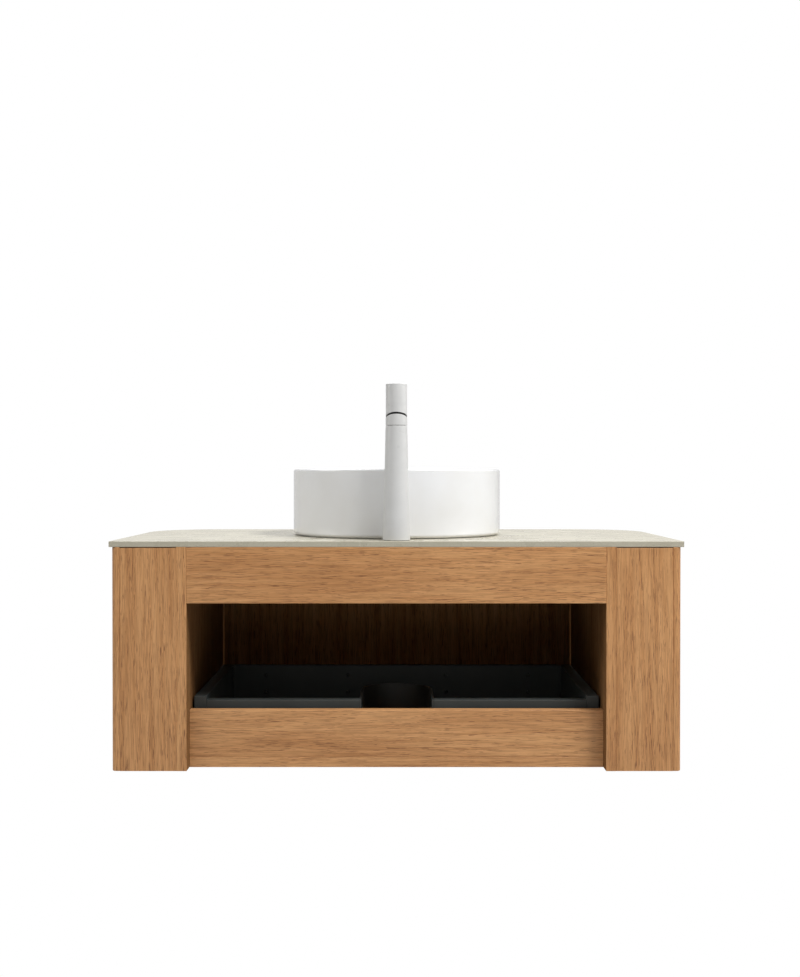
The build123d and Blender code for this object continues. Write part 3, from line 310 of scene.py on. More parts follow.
@dataclass(frozen=True)
class Oak(Finish):
    """Oak veneer, sanded, brushed and lacquered satin.

    Its straight fine streaks are the growth rings cut on edge, its short dark dashes are the open
    pores, and its patches are the flitches. A wide face can show arches instead of streaks.
    """

    grain: Grain = Grain.ALONG_Z
    shift: Place = (0.0, 0.0, 0.0)
    arches: bool = False
    dark: str = "#BC8A5B"
    light: str = "#DCA570"
    pore: str = "#7A4F30"

    def draw(self, tree: bpy.types.NodeTree, shader: bpy.types.Node) -> None:
        """Draw streaks or arches, bands and pores, all long along the grain.

        Args:
            tree: The material's tree.
            shader: Its Principled shader.
        """
        long = self.place(tree, self.grain.stretch(24.0), self.shift)
        short = self.place(tree, self.grain.stretch(26.0), self.shift)
        wide = self.place(tree, self.grain.stretch(7.0), self.shift)
        streaks = add_node(
            tree,
            "ShaderNodeTexNoise",
            {"Vector": long, "Scale": per_mm(self.grit), "Detail": 4.0},
        ).outputs["Fac"]
        if self.arches:
            streaks = self.arch(tree, wide, streaks)
        tone = add_node(
            tree,
            "ShaderNodeValToRGB",
            {"Fac": streaks},
            stops=((0.34, self.dark), (0.66, self.light), (0.50, self.colour)),
        )
        # Bands of denser early wood, 7 mm apart, over flitches of 70 mm
        bands = add_node(
            tree,
            "ShaderNodeTexNoise",
            {"Vector": long, "Scale": per_mm(7.0), "Detail": 2.0},
        ).outputs["Fac"]
        patches = add_node(
            tree,
            "ShaderNodeTexNoise",
            {"Vector": wide, "Scale": per_mm(70.0), "Detail": 3.0},
        ).outputs["Fac"]
        for pattern, darker in ((bands, "#F0E9E1"), (patches, "#EEE7DF")):
            shade = add_node(
                tree,
                "ShaderNodeValToRGB",
                {"Fac": pattern},
                stops=((0.34, darker), (0.62, "#FFFFFF")),
            )
            tone = add_node(
                tree,
                "ShaderNodeMix",
                {FACTOR: 1.0, FIRST: self.colour_of(tone), SECOND: shade.outputs[0]},
                data_type="RGBA",
                blend_type="MULTIPLY",
            )
        # Pores are 0.3 mm wide; drawn 0.8 mm wide so that they show
        pores = add_node(
            tree,
            "ShaderNodeTexNoise",
            {"Vector": short, "Scale": per_mm(0.8), "Detail": 1.0},
        ).outputs["Fac"]
        crowd = add_node(
            tree,
            "ShaderNodeMapRange",
            {"Value": bands, "From Min": 0.36, "From Max": 0.60, "To Min": 0.57, "To Max": 0.66},
        )
        over = add_node(
            tree, "ShaderNodeMath", {0: pores, 1: crowd.outputs[0]}, operation="SUBTRACT"
        )
        dashes = add_node(
            tree,
            "ShaderNodeMapRange",
            {
                "Value": over.outputs[0],
                "From Min": 0.0,
                "From Max": 0.06,
                "To Min": 0.0,
                "To Max": 0.78,
            },
        )
        pored = add_node(
            tree,
            "ShaderNodeMix",
            {FACTOR: dashes.outputs[0], FIRST: self.colour_of(tone), SECOND: linear(self.pore)},
            data_type="RGBA",
        )
        tree.links.new(pored.outputs[MIXED], shader.inputs["Base Color"])
        self.vary(tree, shader, streaks, 0.06)
        depth = add_node(
            tree, "ShaderNodeMath", {0: 1.0, 1: dashes.outputs[0]}, operation="SUBTRACT"
        )
        normal = self.emboss(tree, shader, streaks, self.relief)
        self.emboss(tree, shader, depth.outputs[0], 0.05, normal)

    def arch(
        self, tree: bpy.types.NodeTree, place: bpy.types.NodeSocket, streaks: bpy.types.NodeSocket
    ) -> bpy.types.NodeSocket:
        """Mix the arches of a flat-sawn board into its streaks, and give the mixed pattern.

        Args:
            tree: The material's tree.
            place: The coordinates, stretched along the grain.
            streaks: The pattern of the streaks.

        Returns:
            The mixed pattern.
        """
        bend = add_node(
            tree, "ShaderNodeTexNoise", {"Vector": place, "Scale": per_mm(110.0), "Detail": 3.0}
        )
        bent = add_node(
            tree,
            "ShaderNodeMix",
            {FACTOR: 0.06, 4: place, 5: bend.outputs["Color"]},
            data_type="VECTOR",
        )
        rings = add_node(
            tree,
            "ShaderNodeTexWave",
            {
                "Vector": bent.outputs[1],
                "Scale": math.tau / 20 / (15.0 * MM),
                "Distortion": 1.6,
                "Detail": 3.0,
                "Detail Scale": 1.4,
            },
            wave_type="RINGS",
            rings_direction="SPHERICAL",
            wave_profile="SAW",
        )
        figure = add_node(
            tree,
            "ShaderNodeMath",
            {0: rings.outputs["Fac"], 1: 0.18, 2: -0.08},
            operation="MULTIPLY_ADD",
        )
        mixed = add_node(
            tree, "ShaderNodeMath", {0: streaks, 1: figure.outputs[0]}, operation="ADD"
        )
        return mixed.outputs[0]

    @staticmethod
    def colour_of(node: bpy.types.Node) -> bpy.types.NodeSocket:
        """Give the colour that a ramp or a mix node sends out."""
        return node.outputs[MIXED if node.bl_idname == "ShaderNodeMix" else 0]


@dataclass(frozen=True)
class Stone(Finish):
    """Sintered stone, pressed and honed: dense, with mineral grains and a low sheen."""

    def draw(self, tree: bpy.types.NodeTree, shader: bpy.types.Node) -> None:
        """Draw faint clouds, mineral grains and the honed surface.

        Args:
            tree: The material's tree.
            shader: Its Principled shader.
        """
        place = self.place(tree)
        clouds = add_node(
            tree,
            "ShaderNodeTexNoise",
            {"Vector": place, "Scale": per_mm(self.cloud), "Detail": 4.0},
        ).outputs["Fac"]
        tone = add_node(
            tree,
            "ShaderNodeValToRGB",
            {"Fac": clouds},
            stops=((0.30, self.mottled), (0.70, self.colour)),
        )
        # Grains of about 1 mm, drawn at 1.6 mm so that they show
        grains = add_node(
            tree, "ShaderNodeTexVoronoi", {"Vector": place, "Scale": per_mm(1.6), "Randomness": 1.0}
        )
        speck = add_node(
            tree,
            "ShaderNodeValToRGB",
            {"Fac": grains.outputs["Color"]},
            stops=((0.0, "#E4E2DC"), (1.0, "#FFFFFF"), (0.2, "#F6F5F2")),
        )
        flecked = add_node(
            tree,
            "ShaderNodeMix",
            {FACTOR: 0.8, FIRST: tone.outputs[0], SECOND: speck.outputs[0]},
            data_type="RGBA",
            blend_type="MULTIPLY",
        )
        tree.links.new(flecked.outputs[MIXED], shader.inputs["Base Color"])
        self.vary(tree, shader, clouds, 0.05)
        texture = add_node(
            tree,
            "ShaderNodeTexNoise",
            {"Vector": place, "Scale": per_mm(self.grit), "Detail": 2.0},
        ).outputs["Fac"]
        self.emboss(tree, shader, texture, self.relief)


@dataclass(frozen=True)
class Rolled(Finish):
    """Cold-rolled strip, zinc plated: long rolling lines and faint spangles."""

    grain: Grain = Grain.ALONG_Y

    def draw(self, tree: bpy.types.NodeTree, shader: bpy.types.Node) -> None:
        """Draw the spangles in the tone, and the rolling lines in the roughness and relief.

        Args:
            tree: The material's tree.
            shader: Its Principled shader.
        """
        drawn_out = self.place(tree, self.grain.stretch(60.0))
        lines = add_node(
            tree,
            "ShaderNodeTexNoise",
            {"Vector": drawn_out, "Scale": per_mm(self.grit), "Detail": 3.0},
        ).outputs["Fac"]
        spangles = add_node(
            tree, "ShaderNodeTexVoronoi", {"Vector": self.place(tree), "Scale": per_mm(self.cloud)}
        )
        tone = add_node(
            tree,
            "ShaderNodeValToRGB",
            {"Fac": spangles.outputs["Color"]},
            stops=((0.0, self.mottled), (1.0, self.colour)),
        )
        tree.links.new(tone.outputs[0], shader.inputs["Base Color"])
        self.vary(tree, shader, lines, 0.08)
        self.emboss(tree, shader, lines, self.relief)


@dataclass(frozen=True)
class Turned(Finish):
    """Metal turned on a lathe: fine rings about the vertical axis, under any plating."""

    def draw(self, tree: bpy.types.NodeTree, shader: bpy.types.Node) -> None:
        """Draw the tool's rings in relief, and handling marks in the roughness.

        Args:
            tree: The material's tree.
            shader: Its Principled shader.
        """
        place = self.place(tree)
        rings = add_node(
            tree,
            "ShaderNodeTexWave",
            {"Vector": place, "Scale": math.tau / 20 / (self.grit * MM), "Distortion": 0.4},
            wave_type="BANDS",
            bands_direction="Z",
        )
        patches = add_node(
            tree,
            "ShaderNodeTexNoise",
            {"Vector": place, "Scale": per_mm(self.cloud), "Detail": 3.0},
        ).outputs["Fac"]
        tone = add_node(
            tree,
            "ShaderNodeValToRGB",
            {"Fac": patches},
            stops=((0.3, self.mottled), (0.7, self.colour)),
        )
        tree.links.new(tone.outputs[0], shader.inputs["Base Color"])
        self.vary(tree, shader, patches, 0.3 * self.roughness)
        self.emboss(tree, shader, rings.outputs["Fac"], self.relief)


def oak(
    name: str, grain: Grain, shift: Place, arches: bool = False, inside: float = 1.0
) -> Oak:
    """Give the oak of one board.

    Args:
        name: The board's name.
        grain: The way that its grain runs.
        shift: Where in the log the board was cut, in metres, so that no two boards match.
        arches: Whether it is flat sawn, with arches.
        inside: 1 for faces in the open; less for inner faces, whose oak colours are darkened by
            this share as painted shade and which get no sheen.

    Returns:
        The finish.
    """
    return Oak(
        name=f"oak_veneer_{name}",
        slot="oak_board",
        # A share under 1 darkens every colour of the oak: painted shade for faces inside the
        # cabinet
        colour=shaded("#D09B66", inside),
        mottled=shaded("#B18150", inside),
        dark=shaded("#BC8A5B", inside),
        light=shaded("#DCA570", inside),
        pore=shaded("#75492B", inside),
        roughness=0.6 if inside < 1 else 0.46,
        specular=0.0 if inside < 1 else 0.5,
        grit=1.6,
        relief=0.03,
        grain=grain,
        shift=shift,
        arches=arches,
    )


# Honed stone: the sheen shows only at a low angle
SINTERED_STONE = Stone(
    "honed_sintered_stone", "sintered_stone", "#C1BCAB", "#B9B3A1", 0.28,
    grit=1.6, relief=0.012, cloud=70.0,
)
# Fired glaze: a clear glassy layer over white clay, never quite flat
SANITARY_GLAZE = Finish(
    "sanitary_glaze", "glazed_ceramic", "#F8F9FB", "#F3F3F3", 0.10,
    coat=1.0, grit=38.0, relief=0.03, cloud=90.0,
)
# Powder coat on brass: matte, with a fine orange peel drawn at 1.8 mm
POWDER_COAT = Finish(
    "white_powder_coat", "white_lacquered_brass", "#D8D8D7", "#D3D3D2", 0.30,
    grit=1.8, relief=0.012, cloud=30.0,
)
# Melamine laminate pressed on board: a dry fine pearl texture
LAMINATE = Finish(
    "anthracite_laminate", "anthracite_board", "#484D4C", "#414645", 0.52,
    grit=1.5, relief=0.03, cloud=60.0,
)
# ABS strip with a spark-eroded texture: a little glossier than the board beside it
ANTHRACITE_ABS = Finish(
    "anthracite_abs", "anthracite_plastic", "#444847", "#3E4241", 0.45,
    grit=1.2, relief=0.02, cloud=50.0,
)
# Zinc on cold-rolled strip: cool grey, with long rolling lines that stretch the glints
ZINC_STRIP = Rolled(
    "zinc_plated_strip", "zinc_steel", "#B9BFC4", "#9FA6AC", 0.30,
    metallic=1.0, grit=1.4, relief=0.01, cloud=7.0,
)
# Zinc on turned steel: small bright glints on heads and threads
ZINC_TURNED = Turned(
    "zinc_plated_steel", "zinc_steel", "#B4B9BD", "#9CA2A7", 0.28,
    metallic=1.0, grit=1.1, relief=0.01, cloud=9.0,
)
# Heads painted to match the laminate, so that they do not catch the eye in the tray
PAINTED_STEEL = Finish(
    "painted_steel", "zinc_steel", "#434847", "#3D4140", 0.5,
    grit=1.1, relief=0.01, cloud=9.0,
)
# Brass left as turned goes brown and dull
DULL_BRASS = Turned(
    "dull_brass", "brass", "#6B6252", "#5B5344", 0.45,
    metallic=1.0, grit=1.2, relief=0.01, cloud=15.0,
)
# Freshly machined brass: warm yellow, with the tool's rings in its shine
BRASS = Turned(
    "machined_brass", "brass", "#CBA766", "#B7924F", 0.24,
    metallic=1.0, grit=1.2, relief=0.01, cloud=15.0,
)
# Chrome on brass: a near mirror, so its edges read as thin dark and white lines
CHROME = Turned(
    "chromed_brass", "chromed_brass", "#E4E6E8", "#D6D9DC", 0.07,
    metallic=1.0, grit=2.0, relief=0.002, cloud=20.0,
)
# Black rubber: a dead matte line between two glossy parts
EPDM = Finish(
    "epdm_rubber", "rubber", "#17181A", "#101112", 0.72,
    grit=1.0, relief=0.03, cloud=12.0,
)
# Unpigmented nylon: ivory, and softly waxy
NYLON = Finish(
    "natural_nylon", "nylon", "#E2DDCF", "#D6D0C0", 0.38,
    grit=1.2, relief=0.015, cloud=8.0,
)
# Cured silicone: a soft wet-looking line under the basin
SILICONE = Finish(
    "cured_silicone", "silicone", "#DADAD7", "#CECECA", 0.30,
    grit=3.0, relief=0.03, cloud=25.0,
)
# Orange plastic: shows at once where the drawer unclips
ORANGE_ABS = Finish(
    "orange_abs", "orange_plastic", "#C9581E", "#B84E19", 0.42,
    grit=1.2, relief=0.02, cloud=15.0,
)
# Black acetal: the dome cap, and a black skin in the lever's cup and foot that is painted shade, so
# that the gap under the lever reads as a dark slit
BLACK_ACETAL = Finish(
    "black_acetal", "dark_plastic", "#0E0E0F", "#090909", 0.36,
    grit=1.0, relief=0.01, cloud=9.0,
)
# Grey plastic: a small quiet disc that shows against the white coat
GREY_ABS = Finish(
    "grey_abs", "grey_plastic", "#8E9192", "#828586", 0.40,
    grit=0.8, relief=0.01, cloud=4.0,
)
# Planed beech: pinker and closer in its grain than the oak round it
BEECH = Oak(
    "beech_dowel", "beech", "#D0AE82", "#C6A274", 0.55,
    grit=1.5, relief=0.02, grain=Grain.ALONG_X, dark="#C39C6C", light="#DABB92", pore="#A47E52",
)


# Meshes


def rounded(corners: Sequence[tuple[float, float, float]]) -> list[Point]:
    """Round the corners of a closed outline.

    Args:
        corners: Each corner and its radius; a radius of 0 leaves it sharp.

    Returns:
        The outline's points.
    """
    points: list[Point] = []
    for number, (x, y, radius) in enumerate(corners):
        here = Vector((x, y))
        if radius <= 0:
            points.append((x, y))
            continue
        back = (Vector(corners[number - 1][:2]) - here).normalized()
        on = (Vector(corners[(number + 1) % len(corners)][:2]) - here).normalized()
        half = back.angle(on) / 2
        reach = radius / math.tan(half)
        middle = here + (back + on).normalized() * radius / math.sin(half)
        start = here + back * reach - middle
        turn = start.angle_signed(here + on * reach - middle)
        steps = max(3, round(abs(turn) * (4 + 60 * radius**0.5)))
        for step in range(steps + 1):
            arm = Matrix.Rotation(-turn * step / steps, 2) @ start
            points.append(tuple(middle + arm))
    return points


def to_mesh(name: str, shape: bmesh.types.BMesh) -> bpy.types.Mesh:
    """Turn a finished shape into a mesh with its faces outwards.

    Args:
        name: The mesh's name.
        shape: The shape; it is used up.

    Returns:
        The mesh.
    """
    bmesh.ops.remove_doubles(shape, verts=shape.verts, dist=1e-7)
    bmesh.ops.recalc_face_normals(shape, faces=shape.faces)
    mesh = bpy.data.meshes.new(name)
    shape.to_mesh(mesh)
    shape.free()
    return mesh


def turned(
    name: str,
    outline: Callable[[float], Sequence[Point]] | Sequence[Point],
    centre: Point,
    segments: int = 128,
    closed: bool = False,
) -> bpy.types.Mesh:
    """Turn an outline about a vertical axis.

    Args:
        name: The mesh's name.
        outline: Points of (radius, z), or a function that gives them at an angle.
        centre: X and Y of the axis.
        segments: Number of steps round the axis.
        closed: Whether the outline's last point joins its first, as in a ring.

    Returns:
        The mesh.
    """
    shape = bmesh.new()
    columns = []
    poles: dict[int, bmesh.types.BMVert] = {}
    for step in range(segments):
        angle = math.tau * step / segments
        points = outline(angle) if callable(outline) else outline
        column = []
        for number, (radius, z) in enumerate(points):
            if radius < 1e-7:
                if number not in poles:
                    poles[number] = shape.verts.new((centre[0], centre[1], z))
                column.append(poles[number])
            else:
                x = centre[0] + radius * math.cos(angle)
                column.append(shape.verts.new((x, centre[1] + radius * math.sin(angle), z)))
        columns.append(column)
    for step, column in enumerate(columns):
        other = columns[(step + 1) % segments]
        last = len(column) if closed else len(column) - 1
        for number in range(last):
            nearby = (number + 1) % len(column)
            loop = [column[number], other[number], other[nearby], column[nearby]]
            face = list(dict.fromkeys(loop))
            if len(face) > 2:
                shape.faces.new(face)
    return to_mesh(name, shape)


def prism(
    name: str,
    outline: Sequence[Point],
    low: float,
    high: float,
    lay: Callable[[float, float, float], Place] = lambda x, y, z: (x, y, z),
    holes: Sequence[Sequence[Point]] = (),
) -> bpy.types.Mesh:
    """Raise an outline into a solid.

    Args:
        name: The mesh's name.
        outline: The closed outline.
        low: Where the solid starts along the third axis.
        high: Where it ends.
        lay: Turns the outline's two numbers and the third into a place.
        holes: Closed outlines that go right through.

    Returns:
        The mesh.
    """
    shape = bmesh.new()
    for level in (low, high):
        rims = []
        for loop in (outline, *holes):
            verts = [shape.verts.new(lay(x, y, level)) for x, y in loop]
            rims += [shape.edges.new((verts[i - 1], verts[i])) for i in range(len(verts))]
        bmesh.ops.triangle_fill(shape, edges=rims, use_beauty=True, use_dissolve=True)
    shape.verts.ensure_lookup_table()
    start, size = 0, sum(len(loop) for loop in (outline, *holes))
    for loop in (outline, *holes):
        for number in range(len(loop)):
            here, there = start + number, start + (number + 1) % len(loop)
            quad = [here, there, there + size, here + size]
            shape.faces.new([shape.verts[v] for v in quad])
        start += len(loop)
    return to_mesh(name, shape)


def circle(centre: Point, radius: float, steps: int = 96) -> list[Point]:
    """Give a round outline.

    Args:
        centre: X and Y of its middle.
        radius: Its radius.
        steps: Number of its points.

    Returns:
        The points.
    """
    angles = [math.tau * step / steps for step in range(steps)]
    return [(centre[0] + radius * math.cos(a), centre[1] + radius * math.sin(a)) for a in angles]


def merged(name: str, *meshes: bpy.types.Mesh) -> bpy.types.Mesh:
    """Put several meshes into one, and drop the originals.

    Args:
        name: The new mesh's name.
        meshes: The meshes; they are used up.

    Returns:
        The mesh.
    """
    shape = bmesh.new()
    for mesh in meshes:
        shape.from_mesh(mesh)
        bpy.data.meshes.remove(mesh)
    made = bpy.data.meshes.new(name)
    shape.to_mesh(made)
    shape.free()
    return made


# Geometry trees


class GeometryTree:
    """A geometry tree with named inputs, run once to make a plain mesh."""

    def __init__(self, name: str, sockets: Sequence[tuple[str, str]]) -> None:
        """Start the tree.

        Args:
            name: The tree's name.
            sockets: Name and kind of each input after the geometry.
        """
        self.tree = bpy.data.node_groups.new(name, "GeometryNodeTree")
        interface = self.tree.interface
        interface.new_socket("Geometry", in_out="INPUT", socket_type="NodeSocketGeometry")
        self.names = {
            label: interface.new_socket(label, in_out="INPUT", socket_type=kind).identifier
            for label, kind in sockets
        }
        interface.new_socket("Geometry", in_out="OUTPUT", socket_type="NodeSocketGeometry")
        self.given = add_node(self.tree, "NodeGroupInput").outputs

    def end(self, geometry: bpy.types.NodeSocket) -> None:
        """Realize the geometry, set its material and send it out.

        Args:
            geometry: What the tree has made.
        """
        real = add_node(self.tree, "GeometryNodeRealizeInstances", {0: geometry})
        clad = add_node(
            self.tree,
            "GeometryNodeSetMaterial",
            {"Geometry": real.outputs[0], "Material": self.given["Material"]},
        )
        add_node(self.tree, "NodeGroupOutput", {0: clad.outputs[0]})

    def grow(self, name: str, start: bpy.types.Mesh, values: dict[str, object]) -> bpy.types.Mesh:
        """Run the tree.

        Args:
            name: The new mesh's name.
            start: The mesh that the tree starts from; it is used up.
            values: Each input's value by its name.

        Returns:
            The plain mesh.
        """
        holder = bpy.data.objects.new(f"{name}_holder", start)
        bpy.context.scene.collection.objects.link(holder)
        modifier = holder.modifiers.new("tree", "NODES")
        modifier.node_group = self.tree
        for label, value in values.items():
            modifier[self.names[label]] = value
        graph = bpy.context.evaluated_depsgraph_get()
        mesh = bpy.data.meshes.new_from_object(holder.evaluated_get(graph))
        mesh.name = name
        holder.modifiers.remove(modifier)
        bpy.data.objects.remove(holder)
        bpy.data.meshes.remove(start)
        return mesh


class SetOut(GeometryTree):
    """Sets out copies of a template piece at marked places, as a jig does."""

    def __init__(self) -> None:
        """Build the tree: the start mesh's vertices are the places."""
        kinds = (
            ("Template", "Object"),
            ("Size", "Float"),
            ("Turn", "Vector"),
            ("Material", "Material"),
        )
        super().__init__("set_out", [(label, f"NodeSocket{kind}") for label, kind in kinds])
        template = add_node(self.tree, "GeometryNodeObjectInfo", {"Object": self.given["Template"]})
        turn = add_node(
            self.tree, "FunctionNodeEulerToRotation", {0: self.given["Turn"]}
        )
        copies = add_node(
            self.tree,
            "GeometryNodeInstanceOnPoints",
            {
                "Points": self.given["Geometry"],
                "Instance": template.outputs["Geometry"],
                "Rotation": turn.outputs[0],
                "Scale": self.given["Size"],
            },
        )
        self.end(copies.outputs[0])

    def repeat(
        self,
        name: str,
        template: bpy.types.Mesh,
        places: Sequence[Place],
        finish: Finish,
        turn: Place = (0.0, 0.0, 0.0),
    ) -> bpy.types.Mesh:
        """Set out a template.

        Args:
            name: The new mesh's name.
            template: The piece, drawn about the origin; it is used up.
            places: Where each copy's origin goes.
            finish: The copies' finish.
            turn: How each copy is turned, in radians about X, Y and Z.

        Returns:
            One mesh with every copy.
        """
        marks = bpy.data.meshes.new(f"{name}_marks")
        marks.from_pydata([tuple(place) for place in places], [], [])
        pattern = bpy.data.objects.new(f"{name}_template", template)
        values = {"Template": pattern, "Size": 1.0, "Turn": turn, "Material": finish.material()}
        mesh = self.grow(name, marks, values)
        bpy.data.objects.remove(pattern)
        bpy.data.meshes.remove(template)
        return mesh


class Thread(GeometryTree):
    """Winds a rolled screw thread, a round ridge along a helix."""

    def __init__(self) -> None:
        """Build the tree: a spiral with a round ridge along it."""
        kinds = (("Radius", "Float"), ("Pitch", "Float"), ("Ridge", "Float"), ("Height", "Float"),
                 ("Foot", "Vector"), ("Material", "Material"))
        super().__init__("thread", [(label, f"NodeSocket{kind}") for label, kind in kinds])
        tree, given = self.tree, self.given
        turns = add_node(
            tree, "ShaderNodeMath", {0: given["Height"], 1: given["Pitch"]}, operation="DIVIDE"
        )
        helix = add_node(
            tree,
            "GeometryNodeCurveSpiral",
            {
                "Resolution": 48,
                "Rotations": turns.outputs[0],
                "Start Radius": given["Radius"],
                "End Radius": given["Radius"],
                "Height": given["Height"],
            },
        )
        ridge = add_node(
            tree, "GeometryNodeCurvePrimitiveCircle", {"Resolution": 7, "Radius": given["Ridge"]}
        )
        wound = add_node(
            tree,
            "GeometryNodeCurveToMesh",
            {"Curve": helix.outputs[0], "Profile Curve": ridge.outputs[0], "Fill Caps": True},
        )
        set_down = add_node(
            tree,
            "GeometryNodeTransform",
            {"Geometry": wound.outputs[0], "Translation": given["Foot"]},
        )
        both = add_node(tree, "GeometryNodeJoinGeometry")
        tree.links.new(set_down.outputs[0], both.inputs[0])
        tree.links.new(given["Geometry"], both.inputs[0])
        self.end(both.outputs[0])

    def wind(
        self,
        name: str,
        core: bpy.types.Mesh,
        foot: Place,
        radius: float,
        pitch: float,
        height: float,
        finish: Finish,
    ) -> bpy.types.Mesh:
        """Wind a thread round a core.

        Args:
            name: The new mesh's name.
            core: The plain shaft; it is used up.
            foot: The middle of the thread's lower end.
            radius: Radius of the thread's crest.
            pitch: Rise of one turn.
            height: Length of the thread.
            finish: The metal.

        Returns:
            The shaft with its thread.
        """
        ridge = 0.34 * pitch
        values = {
            "Radius": radius - ridge,
            "Pitch": pitch,
            "Ridge": ridge,
            "Height": height - 2 * ridge,
            "Foot": (foot[0], foot[1], foot[2] + ridge),
            "Material": finish.material(),
        }
        return self.grow(name, core, values)


class Punch(GeometryTree):
    """Punches a row of holes through a sheet."""

    def __init__(self) -> None:
        """Build the tree: cutters in a row, taken out of the start mesh."""
        kinds = (("Cutter", "Object"), ("Count", "Int"), ("First", "Vector"), ("Step", "Vector"),
                 ("Material", "Material"))
        super().__init__("punch", [(label, f"NodeSocket{kind}") for label, kind in kinds])
        tree, given = self.tree, self.given
        row = add_node(
            tree,
            "GeometryNodeMeshLine",
            {"Count": given["Count"], "Start Location": given["First"], "Offset": given["Step"]},
        )
        cutter = add_node(tree, "GeometryNodeObjectInfo", {"Object": given["Cutter"]})
        cutters = add_node(
            tree,
            "GeometryNodeInstanceOnPoints",
            {"Points": row.outputs[0], "Instance": cutter.outputs["Geometry"]},
        )
        real = add_node(tree, "GeometryNodeRealizeInstances", {0: cutters.outputs[0]})
        cut = add_node(
            tree,
            "GeometryNodeMeshBoolean",
            {"Mesh 1": given["Geometry"], "Mesh 2": real.outputs[0]},
            operation="DIFFERENCE",
        )
        self.end(cut.outputs[0])

    def row(
        self,
        name: str,
        sheet: bpy.types.Mesh,
        cutter: bpy.types.Mesh,
        count: int,
        first: Place,
        step: Place,
        finish: Finish,
    ) -> bpy.types.Mesh:
        """Punch a row.

        Args:
            name: The new mesh's name.
            sheet: The sheet; it is used up.
            cutter: The punch, drawn about the origin; it is used up.
            count: Number of holes.
            first: The first hole's middle.
            step: From one hole to the next.
            finish: The sheet's finish.

        Returns:
            The punched sheet.
        """
        tool = bpy.data.objects.new(f"{name}_cutter", cutter)
        values = {
            "Cutter": tool,
            "Count": count,
            "First": first,
            "Step": step,
            "Material": finish.material(),
        }
        mesh = self.grow(name, sheet, values)
        bpy.data.objects.remove(tool)
        bpy.data.meshes.remove(cutter)
        return mesh


# Sub-assemblies


class SubAssembly:
    """Pieces that ride on one body of the model."""

    body = "vanity"

    def keep(self, finish: Finish, *nodes: str) -> None:
        """Give a finish to model pieces whose shape is already right.

        Args:
            finish: Their finish.
            nodes: Their names.
        """
        for node in nodes:
            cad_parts[node].data.materials.clear()
            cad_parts[node].data.materials.append(finish.material())
            LOG.info("%s keeps its shape, in %s", node, finish.name)

    def ease(
        self,
        finish: Finish,
        node: str,
        edge: float,
        inside: Finish | None = None,
        facing: Place = (0.0, 0.0, 0.0),
    ) -> None:
        """Ease the edges of a board, as a hand with sandpaper does.

        Args:
            finish: Its finish.
            node: The model piece that is the board.
            edge: Width of the eased edge.
            inside: The finish of its inner face, where that is another one: oak darkened as painted
                shade.
            facing: The way that the inner face looks.
        """
        shape = bmesh.new()
        shape.from_mesh(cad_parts[node].data)
        bmesh.ops.remove_doubles(shape, verts=shape.verts, dist=1e-6)
        bmesh.ops.dissolve_limit(
            shape, angle_limit=math.radians(1), verts=shape.verts, edges=shape.edges
        )
        mesh = bpy.data.meshes.new(f"{node}_eased")
        shape.to_mesh(mesh)
        shape.free()
        piece = self.put(f"{node}_eased", mesh, finish, node, edge=edge)
        # Faces looking the given way get the darker finish: painted shade
        if inside is not None:
            piece.data.materials.append(inside.material())
            for face in piece.data.polygons:
                face.material_index = int(face.normal.dot(Vector(facing)) > 0.9)

    def put(
        self, name: str, mesh: bpy.types.Mesh, finish: Finish, *nodes: str, edge: float = 0.0
    ) -> bpy.types.Object:
        """Put a finished piece in place of model pieces.

        Args:
            name: The piece's name.
            mesh: Its mesh, in place.
            finish: Its finish.
            nodes: The model pieces that it stands for.
            edge: Width of its rounded edges, in metres.

        Returns:
            The piece.
        """
        mesh.materials.clear()
        mesh.materials.append(finish.material())
        mesh.shade_smooth()
        piece = bpy.data.objects.new(name, mesh)
        bpy.context.scene.collection.objects.link(piece)
        if edge > 0:
            bevel = piece.modifiers.new("edges", "BEVEL")
            bevel.width = edge
            bevel.segments = 3
            bevel.limit_method = "ANGLE"
            bevel.angle_limit = SHARP
        else:
            mesh.set_sharp_from_angle(angle=SHARP)
        flats = piece.modifiers.new("flat_faces", "WEIGHTED_NORMAL")
        flats.keep_sharp = True
        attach(piece, self.body)
        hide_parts(*nodes)
        LOG.info("%s rides on %s, in %s", name, self.body, finish.name)
        return piece


@dataclass
class Counter(SubAssembly):
    """The stone counter, with its two holes and its eased edges."""

    corner_radius: float = 130 * MM
    arris: float = 0.8 * MM
    waste_hole: float = 23 * MM
    tap_hole: float = 17.5 * MM

    def build(self, basin_at: Point, tap_at: Point) -> None:
        """Cut the slab round the basin's and the mixer's holes.

        Args:
            basin_at: X and Y of the basin's middle.
            tap_at: X and Y of the mixer's axis.
        """
        low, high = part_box("countertop")
        plan = rounded(
            [
                (high.x, high.y, 0.0),
                (low.x, high.y, 0.0),
                (low.x, low.y, self.corner_radius),
                (high.x, low.y, self.corner_radius),
            ]
        )
        holes = [circle(basin_at, self.waste_hole, 64), circle(tap_at, self.tap_hole, 64)]
        slab = prism("counter_slab", plan, low.z, high.z, holes=holes)
        self.put("counter_slab", slab, SINTERED_STONE, "countertop", edge=self.arris)


